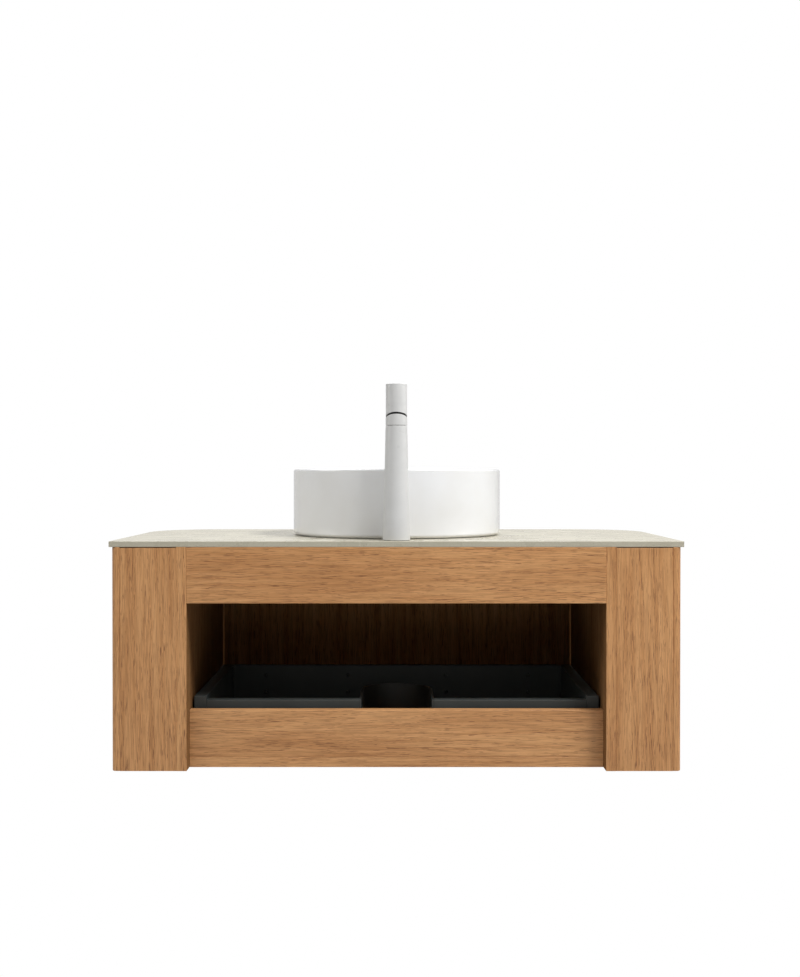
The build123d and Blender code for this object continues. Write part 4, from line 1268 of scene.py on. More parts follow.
@dataclass
class Carcass(SubAssembly):
    """The two columns, the rails between them and the bottom board, all in oak."""

    corner_radius: float = 125 * MM
    shell: float = 14 * MM
    back_arris: float = 8 * MM
    edge: float = 1.2 * MM

    def build(self) -> None:
        """Bend the column shells, and give each board its own oak."""
        for number, (side, sign) in enumerate(SIDES):
            self.shell_of(side, sign, number)
            inner = f"column_inner_side_{side}"
            shift = (0.31 + number, 0.17, 0.4)
            # Faces that look into the opening get oak darkened to 0.64 of its colour: painted shade
            self.ease(
                oak(inner, Grain.ALONG_Z, shift),
                inner,
                self.edge,
                oak(f"{inner}_face", Grain.ALONG_Z, shift, inside=0.64),
                (-sign, 0.0, 0.0),
            )
            back = f"column_back_{side}"
            self.ease(oak(back, Grain.ALONG_Z, (0.93 - number, 0.55, 0.2)), back, self.edge)
        self.keep(oak("column_ends", Grain.ALONG_Y, (0.2, 0.9, 0.1)), "column_bases", "column_tops")
        rails = ("top_back_rail", "lower_back_rail", "bottom_board", "front_top_rail")
        for number, rail in enumerate(rails):
            shift = (0.7 - 0.17 * number, 0.35 + 0.13 * number, 0.12 + 0.25 * number)
            self.ease(oak(rail, Grain.ALONG_X, shift), rail, self.edge)
        self.keep(BEECH, "dowels")
        self.keep(ZINC_TURNED, "carcass_screws")

    def shell_of(self, side: str, sign: float, number: int) -> None:
        """Bend one column's shell.

        Args:
            side: Its side.
            sign: -1 for left, 1 for right.
            number: Its number, which picks its place in the log.
        """
        node = f"column_shell_{side}"
        low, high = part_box(node)
        outer, inner = (high.x, low.x) if sign > 0 else (low.x, high.x)
        wall = outer - sign * self.shell
        plan = rounded(
            [
                (inner, low.y, 0.0),
                (outer, low.y, self.corner_radius),
                (outer, high.y, self.back_arris),
                (wall, high.y, 0.0),
                (wall, low.y + self.shell, self.corner_radius - self.shell),
                (inner, low.y + self.shell, 0.0),
            ]
        )
        bent = prism(node, plan, low.z, high.z)
        finish = oak(node, Grain.ALONG_Z, (0.05 + 0.6 * number, 0.33, 0.7))
        self.put(f"{node}_bent", bent, finish, node, edge=self.edge)


@dataclass
class Drawer(SubAssembly):
    """The drawer: an oak front on a dark tray with a cut-out for the trap."""

    body = "drawer"
    surround: float = 4 * MM
    edge: float = 0.9 * MM
    screw_head: float = 4 * MM
    screw_head_height: float = 2.5 * MM
    screw_shank: float = 2 * MM
    inner_screw: float = 0.375  # share of the outer screws' distance from the middle

    def build(self, jig: SetOut) -> None:
        """Dress the tray's boards and the front, and make the surround and the screws.

        Args:
            jig: The tree that sets out copies.
        """
        boards = [f"drawer_{part}_{side}" for part in ("side", "back") for side, _ in SIDES]
        for board in (*boards, "drawer_inner_front", "drawer_floor"):
            self.ease(LAMINATE, board, self.edge)
        face = oak("drawer_front", Grain.ALONG_Z, (0.0, 0.0, 0.0), arches=True)
        # The front's back face, which looks into the cabinet, gets oak darkened to 0.84: painted
        # shade
        back = oak("drawer_front_back", Grain.ALONG_Z, (0.0, 0.3, 0.0), arches=True, inside=0.84)
        self.ease(face, "drawer_front", self.edge, back, (0.0, 1.0, 0.0))
        self.keep(ORANGE_ABS, "locking_clips")
        self.bend_surround()
        self.drive_screws(jig)

    def bend_surround(self) -> None:
        """Bend the strip that lines the cut-out."""
        low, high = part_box("siphon_surround")
        outer = high.x
        inner = outer - self.surround
        end = low.y + outer

        def arc(radius: float) -> list[Point]:
            """Give the half round end of the cut-out, from -X to +X."""
            angles = [math.pi + math.pi * step / 48 for step in range(49)]
            return [(radius * math.cos(a), end + radius * math.sin(a)) for a in angles]

        plan = [(-outer, high.y), *arc(outer), (outer, high.y), (inner, high.y)]
        plan += [*reversed(arc(inner)), (-inner, high.y)]
        strip = prism("trap_surround", plan, low.z, high.z)
        self.put("trap_surround", strip, ANTHRACITE_ABS, "siphon_surround", edge=self.edge)

    def drive_screws(self, jig: SetOut) -> None:
        """Drive the screws that hold the front.

        Args:
            jig: The tree that sets out copies.
        """
        low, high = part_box("front_screws")
        head = self.screw_head
        xs = (low.x + head, high.x - head)
        zs = (low.z + head, high.z - head)
        inner_x = self.inner_screw * xs[1]
        foot = high.y - self.screw_head_height
        places = [(x, foot, z) for x in (xs[0], -inner_x, inner_x, xs[1]) for z in zs]
        length = foot - low.y
        template = screw(
            "front_screw", head, self.screw_head_height, self.screw_shank, length
        )
        screws = jig.repeat(
            "front_screw_set", template, places, PAINTED_STEEL, (-math.pi / 2, 0.0, 0.0)
        )
        self.put("front_screw_set", screws, PAINTED_STEEL, "front_screws")


def screw(
    name: str, head: float, head_height: float, shank: float, length: float
) -> bpy.types.Mesh:
    """Make a pan-head screw with a cross recess, its head up and its seat at the origin.

    Args:
        name: The mesh's name.
        head: Radius of the head.
        head_height: Height of the head.
        shank: Radius of the shank.
        length: Length below the head.

    Returns:
        The mesh.
    """
    crown = [
        (head * math.cos(a), head_height * math.sin(a))
        for a in [math.pi / 2 * step / 8 for step in range(3, 8)]
    ]
    dish = 0.34 * head
    outline = [
        (0.0, head_height * 0.40),
        (dish * 0.55, head_height * 0.42),
        (dish, head_height * 0.97),
        *[point for point in reversed(crown) if point[0] > dish * 1.1],
        (head, head_height * 0.30),
        (head, 0.0),
        (shank, 0.0),
        (shank, -length + 1.4 * shank),
        (shank * 0.12, -length),
        (0.0, -length),
    ]

    def cross(angle: float) -> list[Point]:
        """Give the outline at an angle: the recess is deep along four arms.

        Args:
            angle: Angle about the axis.

        Returns:
            The outline.
        """
        arm = abs(math.cos(2 * angle)) ** 6
        return [
            (radius * (1 + 0.75 * arm) if number in (1, 2) else radius, z)
            for number, (radius, z) in enumerate(outline)
        ]

    return turned(name, cross, (0.0, 0.0), 32)


@dataclass
class Runners(SubAssembly):
    """The pair of full-extension runners under the drawer."""

    steel: float = 1.2 * MM
    channel_width: float = 28 * MM
    channel_height: float = 10 * MM
    bend: float = 1.6 * MM
    roller: float = 3.4 * MM
    roller_shares: tuple[float, ...] = (0.06, 0.35, 0.65, 0.94)
    screw_shares: tuple[float, ...] = (0.1, 0.5, 0.9)
    screw_head: float = 3.5 * MM
    screw_head_height: float = 1.1 * MM
    screw_shank: float = 1.75 * MM
    slots: int = 6
    slot_half: Point = (7 * MM, 2.7 * MM)
    slot_round: float = 2.6 * MM
    slot_start: Point = (0.24, 0.60)  # shares of the flange's length and height
    slot_step: float = 0.105  # share of the flange's length
    lip: float = 0.3 * MM
    fold_round: float = 0.5 * MM

    def build(self, jig: SetOut, punch: Punch) -> None:
        """Fold the three members of each runner, and set out rollers and screws.

        Args:
            jig: The tree that sets out copies.
            punch: The tree that punches rows of holes.
        """
        for side, sign in SIDES:
            self.body = "vanity"
            self.fold_cabinet(side, sign, punch)
            self.body = "runner_middles"
            self.fold_middle(side, sign)
            self.body = "drawer"
            self.fold_hood(side, sign)
        self.body = "runner_middles"
        self.set_rollers(jig)
        self.body = "vanity"
        self.drive_screws(jig)

    def fold(
        self, node: str, sign: float, outlines: Sequence[Sequence[tuple[float, float, float]]]
    ) -> bpy.types.Mesh:
        """Fold a member from outlines of (distance from the middle, z, bend radius).

        Args:
            node: The model piece that it stands for.
            sign: -1 for left, 1 for right.
            outlines: The outlines of its section.

        Returns:
            The mesh.
        """
        low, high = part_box(node)
        meshes = []
        for outline in outlines:
            section = rounded([(sign * x, z, radius) for x, z, radius in outline])
            meshes.append(
                prism(node, section, low.y, high.y, lambda x, z, y: (x, y, z))
            )
        return merged(node, *meshes)

    def fold_cabinet(self, side: str, sign: float, punch: Punch) -> None:
        """Fold the member that is screwed to the column, and punch its flange.

        Args:
            side: The runner's side.
            sign: -1 for left, 1 for right.
            punch: The tree that punches rows of holes.
        """
        node = f"runner_cabinet_{side}"
        low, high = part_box(node)
        near, far = sorted((abs(low.x), abs(high.x)))
        t, bend, foot = self.steel, self.bend, low.z
        wall_top = foot + t + self.channel_height
        folded = [
            (far - t, high.z, 0.0),
            (far, high.z, 0.0),
            (far, foot, bend),
            (near, foot, bend),
            (near, wall_top, 0.0),
            (near + t, wall_top, 0.0),
            (near + t, foot + t, bend - t),
            (far - t, foot + t, bend - t),
        ]
        wall = near + self.channel_width
        rib = [
            (wall - t, foot + t, 0.0),
            (wall, foot + t, 0.0),
            (wall, wall_top, 0.0),
            (wall - t, wall_top, 0.0),
        ]
        sheet = self.fold(node, sign, [folded])
        half_y, half_z = self.slot_half
        slot = rounded(
            [
                (across * half_y, up * half_z, self.slot_round)
                for across, up in ((-1, -1), (1, -1), (1, 1), (-1, 1))
            ]
        )
        cutter = prism("slot_cutter", slot, -3 * MM, 3 * MM, lambda y, z, x: (x, y, z))
        length = high.y - low.y
        first = (
            sign * (far - t / 2),
            low.y + self.slot_start[0] * length,
            foot + self.slot_start[1] * (high.z - foot),
        )
        step = (0.0, self.slot_step * length, 0.0)
        punched = punch.row(node, sheet, cutter, self.slots, first, step, ZINC_STRIP)
        whole = merged(f"{node}_folded", punched, self.fold(node, sign, [rib]))
        self.put(f"{node}_folded", whole, ZINC_STRIP, node)

    def fold_middle(self, side: str, sign: float) -> None:
        """Fold the member between, an H on its side rails.

        Args:
            side: The runner's side.
            sign: -1 for left, 1 for right.
        """
        node = f"runner_middle_{side}"
        low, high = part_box(node)
        near, far = sorted((abs(low.x), abs(high.x)))
        t = self.steel
        web = low.z + 2 * self.roller
        lip, soft = self.lip, self.fold_round
        section = [
            (near, low.z, lip),
            (near + t, low.z, lip),
            (near + t, web, soft),
            (far - t, web, soft),
            (far - t, low.z, lip),
            (far, low.z, lip),
            (far, high.z, lip),
            (far - t, high.z, lip),
            (far - t, web + t, soft),
            (near + t, web + t, soft),
            (near + t, high.z, lip),
            (near, high.z, lip),
        ]
        self.put(f"{node}_folded", self.fold(node, sign, [section]), ZINC_STRIP, node)

    def fold_hood(self, side: str, sign: float) -> None:
        """Fold the member that carries the drawer, a hood over the channel.

        Args:
            side: The runner's side.
            sign: -1 for left, 1 for right.
        """
        node = f"runner_drawer_{side}"
        low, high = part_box(node)
        near, far = sorted((abs(low.x), abs(high.x)))
        t, bend = self.steel, self.bend
        section = [
            (near, low.z, 0.0),
            (near + t, low.z, 0.0),
            (near + t, high.z - t, bend - t),
            (far - t, high.z - t, bend - t),
            (far - t, low.z, 0.0),
            (far, low.z, 0.0),
            (far, high.z, bend),
            (near, high.z, bend),
        ]
        self.put(f"{node}_folded", self.fold(node, sign, [section]), ZINC_STRIP, node)

    def set_rollers(self, jig: SetOut) -> None:
        """Set out the nylon rollers on both sides of each middle member.

        Args:
            jig: The tree that sets out copies.
        """
        low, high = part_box("runner_rollers")
        inner = min(abs(x) for x in self.roller_ends())
        half = (high.x - inner) / 2
        radius = self.roller
        back, front = high.y - radius, low.y + radius
        share = self.roller_shares
        places = []
        for _, sign in SIDES:
            for level in (low.z + radius, high.z - radius):
                for at in share:
                    y = back + (front - back) * (at - share[0]) / (share[-1] - share[0])
                    places.append((sign * (high.x - half), y, level))
        groove, hub = 0.25 * MM, 1.1 * MM
        outline = [
            (0.0, -half),
            (hub, -half),
            (hub, -half + 0.5 * MM),
            (radius - 0.7 * MM, -half + 0.5 * MM),
            (radius - 0.7 * MM, -half),
            (radius - 0.3 * MM, -half),
            (radius, -half + 0.3 * MM),
            (radius, -0.6 * MM),
            (radius - groove, -0.3 * MM),
        ]
        whole = outline + [(r, -z) for r, z in reversed(outline)]
        rollers = jig.repeat(
            "roller_set",
            turned("roller", whole, (0.0, 0.0), 32),
            places,
            NYLON,
            (0.0, math.pi / 2, 0.0),
        )
        self.put("roller_set", rollers, NYLON, "runner_rollers")

    def roller_ends(self) -> tuple[float, float]:
        """Give the distances from the middle of a roller's two ends."""
        low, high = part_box("runner_middle_right")
        return low.x + self.steel, high.x - self.steel

    def drive_screws(self, jig: SetOut) -> None:
        """Drive the screws that hold the runners to the columns.

        Args:
            jig: The tree that sets out copies.
        """
        low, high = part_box("runner_screws")
        flange_low, flange_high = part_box("runner_cabinet_right")
        seat = flange_high.x - self.steel
        length = flange_high.y - flange_low.y
        z = (low.z + high.z) / 2
        for side, sign in SIDES:
            places = [(sign * seat, flange_high.y - at * length, z) for at in self.screw_shares]
            template = screw(
                "runner_screw",
                self.screw_head,
                self.screw_head_height,
                self.screw_shank,
                high.x - seat,
            )
            turn = (0.0, -sign * math.pi / 2, 0.0)
            driven = jig.repeat(f"runner_screw_set_{side}", template, places, ZINC_TURNED, turn)
            self.put(f"runner_screw_set_{side}", driven, ZINC_TURNED, "runner_screws")


@dataclass
class Basin(SubAssembly):
    """The round vessel basin and the bead of silicone under it."""

    wall: float = 8 * MM
    taper: float = 4 * MM
    floor: float = 16 * MM
    fall: float = 3 * MM
    foot_round: float = 6.5 * MM
    bowl_round: float = 42 * MM
    rim_round: float = 3.7 * MM
    foot_ring: float = 26 * MM
    recess: float = 4 * MM
    boss: float = 42 * MM
    seat: float = 34 * MM
    seat_depth: float = 2 * MM
    hole: float = 23 * MM

    def build(self) -> Point:
        """Throw the basin.

        Returns:
            X and Y of its middle.
        """
        low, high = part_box("basin")
        centre = ((low.x + high.x) / 2, (low.y + high.y) / 2)
        radius = (high.x - low.x) / 2
        bowl = radius - self.wall
        floor = low.z + self.floor
        foot = radius - self.foot_ring
        soft = 1.2 * MM
        outline = rounded(
            [
                (self.hole, low.z, soft),
                (self.boss, low.z, soft),
                (self.boss + self.recess, low.z + self.recess, soft),
                (foot - self.recess, low.z + self.recess, soft),
                (foot, low.z, soft),
                (radius, low.z, self.foot_round),
                (radius, high.z, self.rim_round),
                (bowl, high.z, self.rim_round),
                (bowl - self.taper, floor, self.bowl_round),
                (self.seat, floor - self.fall, 0.8 * MM),
                (self.seat - MM, floor - self.fall - self.seat_depth, 0.3 * MM),
                (self.hole, floor - self.fall - self.seat_depth, soft),
            ]
        )
        self.put(
            "vessel_basin",
            turned("vessel_basin", outline, centre, 256, closed=True),
            SANITARY_GLAZE,
            "basin",
        )
        self.run_bead(centre)
        return centre

    def run_bead(self, centre: Point) -> None:
        """Run the bead of silicone, slightly hollow at its edges.

        Args:
            centre: X and Y of its middle.
        """
        low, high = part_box("basin_bead")
        outer = (high.x - low.x) / 2
        width, thick = 12 * MM, high.z - low.z
        dip = 0.35 * thick
        outline = [
            (outer - width, low.z),
            (outer, low.z),
            (outer - dip, (low.z + high.z) / 2),
            (outer, high.z),
            (outer - width, high.z),
            (outer - width + dip, (low.z + high.z) / 2),
        ]
        bead = turned("silicone_bead", outline, centre, 160, closed=True)
        self.put("silicone_bead", bead, SILICONE, "basin_bead")


@dataclass
class Waste(SubAssembly):
    """The pop-up waste: flange, threaded tail, nut, seals and the click cartridge."""

    bore: float = 17 * MM
    thread: float = 20.6 * MM
    thread_pitch: float = 2.31 * MM
    thread_depth: float = 1.2 * MM
    flange_height: float = 2.5 * MM
    nut_lugs: int = 8
    lug_height: float = 3.2 * MM
    spider_arms: int = 6
    spider_drop: float = 17 * MM  # top of the arms below the top of the click cartridge
    spider_thick: float = 3 * MM
    spider_bore: float = 4.05 * MM
    spider_hub: float = 6.6 * MM
    arm_half: float = 1.3 * MM

    def build(self, at: Point, thread: Thread) -> None:
        """Make the waste and the parts that clamp it.

        Args:
            at: X and Y of the basin's middle.
            thread: The tree that winds threads.
        """
        low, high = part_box("waste_body")
        flange = (high.x - low.x) / 2
        top, seat = high.z, high.z - self.flange_height
        nut_low, nut_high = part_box("waste_nut")
        relief = nut_low.z - 0.5 * MM
        root = self.thread - self.thread_depth
        outline = rounded(
            [
                (self.bore, top, 1.2 * MM),
                (flange, top, 1.1 * MM),
                (flange, seat, 0.3 * MM),
                (self.thread, seat, 0.0),
                (self.thread, relief, 0.3 * MM),
                (root, relief - 0.7 * MM, 0.0),
                (root, low.z + 0.6 * MM, 0.0),
                (root - 0.6 * MM, low.z, 0.0),
                (self.bore, low.z, 0.3 * MM),
            ]
        )
        core = turned("waste_core", outline, at, 128, closed=True)
        height = relief - 1.5 * MM - low.z
        wound = thread.wind(
            "waste_tail", core, (*at, low.z), self.thread, self.thread_pitch, height, CHROME
        )
        whole = merged("waste_tail", wound, self.spider(at))
        self.put("waste_tail", whole, CHROME, "waste_body")
        nut = self.nut(at, nut_low, nut_high)
        self.put("waste_clamp_nut", nut, BRASS, "waste_nut", edge=0.4 * MM)
        self.keep(EPDM, "flange_seal", "lower_seal")
        self.keep(NYLON, "click_cartridge")

    def spider(self, at: Point) -> bpy.types.Mesh:
        """Make the ring and arms that hold the click cartridge in the bore.

        Args:
            at: X and Y of the basin's middle.

        Returns:
            The mesh.
        """
        _, click_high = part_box("click_cartridge")
        top = click_high.z - self.spider_drop
        low = top - self.spider_thick
        bore, hub, soft = self.spider_bore, self.spider_hub, 0.3 * MM
        hub_ring = turned(
            "spider_hub",
            rounded([(bore, low, soft), (hub, low, soft), (hub, top, soft), (bore, top, soft)]),
            at,
            64,
            closed=True,
        )
        arms = []
        for number in range(self.spider_arms):
            angle = math.tau * (number + 0.5) / self.spider_arms
            along = Vector((math.cos(angle), math.sin(angle)))
            across = Vector((-along.y, along.x)) * self.arm_half
            ends = [along * (hub - 0.4 * MM), along * (self.bore + 0.5 * MM)]
            corners = [ends[0] - across, ends[1] - across, ends[1] + across, ends[0] + across]
            plan = [(at[0] + c.x, at[1] + c.y) for c in corners]
            arms.append(prism("spider_arm", plan, low, top))
        return merged("spider", hub_ring, *arms)

    def nut(self, at: Point, low: Vector, high: Vector) -> bpy.types.Mesh:
        """Make the clamp nut: a ring with lugs for the fitter's grip.

        Args:
            at: X and Y of the basin's middle.
            low: Low corner of the nut's box.
            high: High corner of it.

        Returns:
            The mesh.
        """
        outer = (high.x - low.x) / 2
        bore = self.thread + 0.05 * MM
        plan = []
        steps = self.nut_lugs * 12
        for step in range(steps):
            angle = math.tau * step / steps
            lug = 0.5 + 0.5 * math.tanh(5 * math.cos(self.nut_lugs * angle))
            radius = outer - self.lug_height * (1 - lug)
            plan.append((at[0] + radius * math.cos(angle), at[1] + radius * math.sin(angle)))
        return prism("waste_clamp_nut", plan, low.z, high.z, holes=[circle(at, bore, 64)])


@dataclass
class Plug(SubAssembly):
    """The domed plug that clicks up and down."""

    body = "plug"
    edge_height: float = 1.6 * MM
    crown: float = 4 * MM
    stem: float = 3.2 * MM
    stem_length: float = 18 * MM

    def build(self, at: Point) -> None:
        """Spin the domed cover and its stem.

        Args:
            at: X and Y of the basin's middle.
        """
        low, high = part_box("waste_plug")
        radius = (high.x - low.x) / 2
        foot = low.z + self.stem_length
        rise = self.crown - self.edge_height
        ball = (radius**2 + rise**2) / (2 * rise)
        dome = []
        for step in range(13):
            out = (radius - 0.5 * MM) * step / 12
            dome.append((out, high.z - ball + math.sqrt(ball**2 - out**2)))
        outline = [
            *dome,
            (radius - 0.12 * MM, foot + self.edge_height - 0.2 * MM),
            (radius, foot + self.edge_height - 0.6 * MM),
            (radius, foot + 0.3 * MM),
            (radius - 0.3 * MM, foot),
            (self.stem, foot),
            (self.stem, low.z + 0.8 * MM),
            (self.stem - 0.8 * MM, low.z),
            (0.0, low.z),
        ]
        self.put("plug_cover", turned("plug_cover", outline, at, 128), POWDER_COAT, "waste_plug")
        self.keep(EPDM, "plug_seal")


@dataclass
class Mixer(SubAssembly):
    """The tall mixer: tapered body, spout, aerator, and its fixing under the counter."""

    base: float = 24.5 * MM
    middle: float = 21.5 * MM
    top: float = 19.2 * MM
    bore: float = 15.2 * MM
    cartridge_bore: float = 12.85 * MM
    nut_bore: float = 14.95 * MM
    nut_depth: float = 5 * MM
    seat_drop: float = 18 * MM
    cartridge_drop: float = 14 * MM
    spout_end: float = 3 * MM
    spout_wall: float = 2.5 * MM
    stud_pitch: float = 1.25 * MM
    thread_depth: float = 0.65 * MM
    jet_rings: tuple[tuple[float, int], ...] = ((2.4 * MM, 6), (4.8 * MM, 12))
    jet_face: float = 2.4 * MM  # height of the disc above the ring's foot

    def build(self, jig: SetOut, thread: Thread) -> Point:
        """Make the body, the spout and the fixing.

        Args:
            jig: The tree that sets out copies.
            thread: The tree that winds threads.

        Returns:
            X and Y of the body's axis.
        """
        low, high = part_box("tap_body")
        at = ((low.x + high.x) / 2, (low.y + high.y) / 2)
        self.turn_body(at, low.z, high.z)
        self.turn_spout()
        self.make_aerator(jig)
        self.make_fixing(thread)
        self.keep(BRASS, "base_insert")
        self.keep(DULL_BRASS, "cartridge_nut")
        self.keep(EPDM, "tap_base_seal", "horseshoe_pad")
        self.keep(NYLON, "cartridge")
        return at

    def taper(self, share: float) -> float:
        """Give the body's radius at a share of its height, on the arc through three radii."""
        bow = 2 * (self.base + self.top - 2 * self.middle)
        return self.base + (self.top - self.base - bow) * share + bow * share**2

    def turn_body(self, at: Point, foot: float, head: float) -> None:
        """Turn the tapered body with its bores.

        Args:
            at: X and Y of the body's axis.
            foot: Height of its foot.
            head: Height of its top.
        """
        soft = 0.6 * MM
        rows = 40
        flank = []
        for row in range(rows + 1):
            z = foot + 0.4 * MM + (head - soft - foot - 0.4 * MM) * row / rows
            flank.append((self.taper((z - foot) / (head - foot)), z))
        seat, floor = head - self.seat_drop, head - self.cartridge_drop
        arris = [
            (self.top - soft * (1 - math.cos(a)), head - soft * (1 - math.sin(a)))
            for a in (math.pi / 8, math.pi / 4, 3 * math.pi / 8, math.pi / 2)
        ]
        outline = [
            (0.0, seat),
            (self.bore, seat),
            (self.bore, foot),
            (self.base - 0.4 * MM, foot),
            *flank,
            *arris,
            (self.nut_bore, head),
            (self.nut_bore, head - self.nut_depth),
            (self.cartridge_bore, head - self.nut_depth),
            (self.cartridge_bore, floor),
            (0.0, floor),
        ]
        self.put("mixer_body", turned("mixer_body", outline, at, 160), POWDER_COAT, "tap_body")

    def turn_spout(self) -> None:
        """Turn the round spout along Y, closed at its end."""
        low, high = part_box("spout")
        radius = (high.x - low.x) / 2
        length = high.y - low.y
        inner = radius - self.spout_wall
        bend = self.spout_end
        end = [
            (radius - bend * (1 - math.cos(a)), length - bend * (1 - math.sin(a)))
            for a in [math.pi / 2 * step / 8 for step in range(9)]
        ]
        tube = turned(
            "mixer_spout",
            [
                (0.0, length - self.spout_wall),
                (inner, length - self.spout_wall),
                (inner, 0.0),
                (radius, 0.0),
                *[(radius, length * step / 24) for step in range(1, 23)],
                *end,
                (0.0, length),
            ],
            (0.0, 0.0),
            96,
        )
        # The lathe's axis is laid along -Y, from the body to the end
        laid = Matrix.Rotation(math.pi / 2, 4, "X")
        tube.transform(Matrix.Translation((0.0, high.y, (low.z + high.z) / 2)) @ laid)
        self.put("mixer_spout", tube, POWDER_COAT, "spout")

    def make_aerator(self, jig: SetOut) -> None:
        """Make the aerator's ring and set out its jets.

        Args:
            jig: The tree that sets out copies.
        """
        low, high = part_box("aerator")
        at = ((low.x + high.x) / 2, (low.y + high.y) / 2)
        outer = (high.x - low.x) / 2
        lip, soft = 1.5 * MM, 0.5 * MM
        ring = turned(
            "aerator_ring",
            rounded(
                [
                    (outer - lip, low.z, soft),
                    (outer, low.z, soft),
                    (outer, high.z, soft),
                    (outer - lip, high.z, soft),
                ]
            ),
            at,
            96,
            closed=True,
        )
        face, back = low.z + self.jet_face, high.z - MM
        rim = outer - lip + 0.2 * MM
        disc = turned(
            "aerator_disc",
            [(0.0, face), (rim, face), (rim, back), (0.0, back)],
            at,
            64,
        )
        tube = turned(
            "jet",
            [
                (0.45 * MM, -1.3 * MM),
                (0.72 * MM, -1.3 * MM),
                (0.8 * MM, 0.2 * MM),
                (0.45 * MM, 0.2 * MM),
            ],
            (0.0, 0.0),
            12,
            closed=True,
        )
        places = [(at[0], at[1], face)]
        for ring_radius, count in self.jet_rings:
            for number in range(count):
                angle = math.tau * number / count
                x = at[0] + ring_radius * math.cos(angle)
                places.append((x, at[1] + ring_radius * math.sin(angle), face))
        jets = jig.repeat("aerator_jets", tube, places, GREY_ABS)
        self.put("aerator_ring", ring, CHROME, "aerator")
        self.put("aerator_jets", merged("aerator_jets", disc, jets), GREY_ABS, "aerator")

    def make_fixing(self, thread: Thread) -> None:
        """Make the threaded stud, its nut and the horseshoe plate under the counter.

        Args:
            thread: The tree that winds threads.
        """
        low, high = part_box("fixing_stud")
        at = ((low.x + high.x) / 2, (low.y + high.y) / 2)
        radius = (high.x - low.x) / 2
        root = radius - self.thread_depth
        core = turned(
            "stud_core",
            [
                (0.0, low.z),
                (root - 0.5 * MM, low.z),
                (root, low.z + 0.7 * MM),
                (root, high.z),
                (0.0, high.z),
            ],
            at,
            48,
        )
        height = high.z - low.z
        stud = thread.wind(
            "threaded_stud", core, (*at, low.z), radius, self.stud_pitch, height, ZINC_TURNED
        )
        self.put("threaded_stud", stud, ZINC_TURNED, "fixing_stud")
        nut_low, nut_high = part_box("stud_nut")
        corner = (nut_high.x - nut_low.x) / 2
        plan = circle(at, corner, 6)
        hole = circle(at, radius + 0.05 * MM, 48)
        nut = prism("hex_nut", plan, nut_low.z, nut_high.z, holes=[hole])
        self.put("hex_nut", nut, BRASS, "stud_nut", edge=0.5 * MM)
        self.keep(ZINC_STRIP, "horseshoe_plate")


@dataclass
class MixerCollar(SubAssembly):
    """The collar that turns with the lever, its top cut on the slant."""

    body = "tap_turn"
    bore: float = 15.8 * MM
    slant: float = math.tan(math.radians(22.5))
    edge: float = 0.45 * MM

    def build(self, at: Point) -> None:
        """Turn the collar and dress the dome inside it.

        Args:
            at: X and Y of the mixer's axis.
        """
        low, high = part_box("tap_collar")
        radius = (high.x - low.x) / 2
        middle = high.z - radius * self.slant
        e = self.edge

        def outline(angle: float) -> list[Point]:
            """Give the wall's section at an angle; the top follows the slant.

            Args:
                angle: Angle about the axis.

            Returns:
                The section.
            """
            rise = math.sin(angle) * self.slant
            outer, inner = middle + radius * rise, middle + self.bore * rise
            return [
                (self.bore, low.z),
                (radius - e, low.z),
                (radius - 0.3 * e, low.z + 0.3 * e),
                (radius, low.z + e),
                (radius, outer - e),
                (radius - 0.3 * e, outer - 0.3 * e),
                (radius - e, outer - e * rise),
                (self.bore + e, inner + e * rise),
                (self.bore, inner - e),
            ]

        collar = turned("mixer_collar", outline, at, 160, closed=True)
        self.put("mixer_collar", collar, POWDER_COAT, "tap_collar")
        self.keep(BLACK_ACETAL, "dome_cap")
        self.keep(NYLON, "cartridge_rotor")


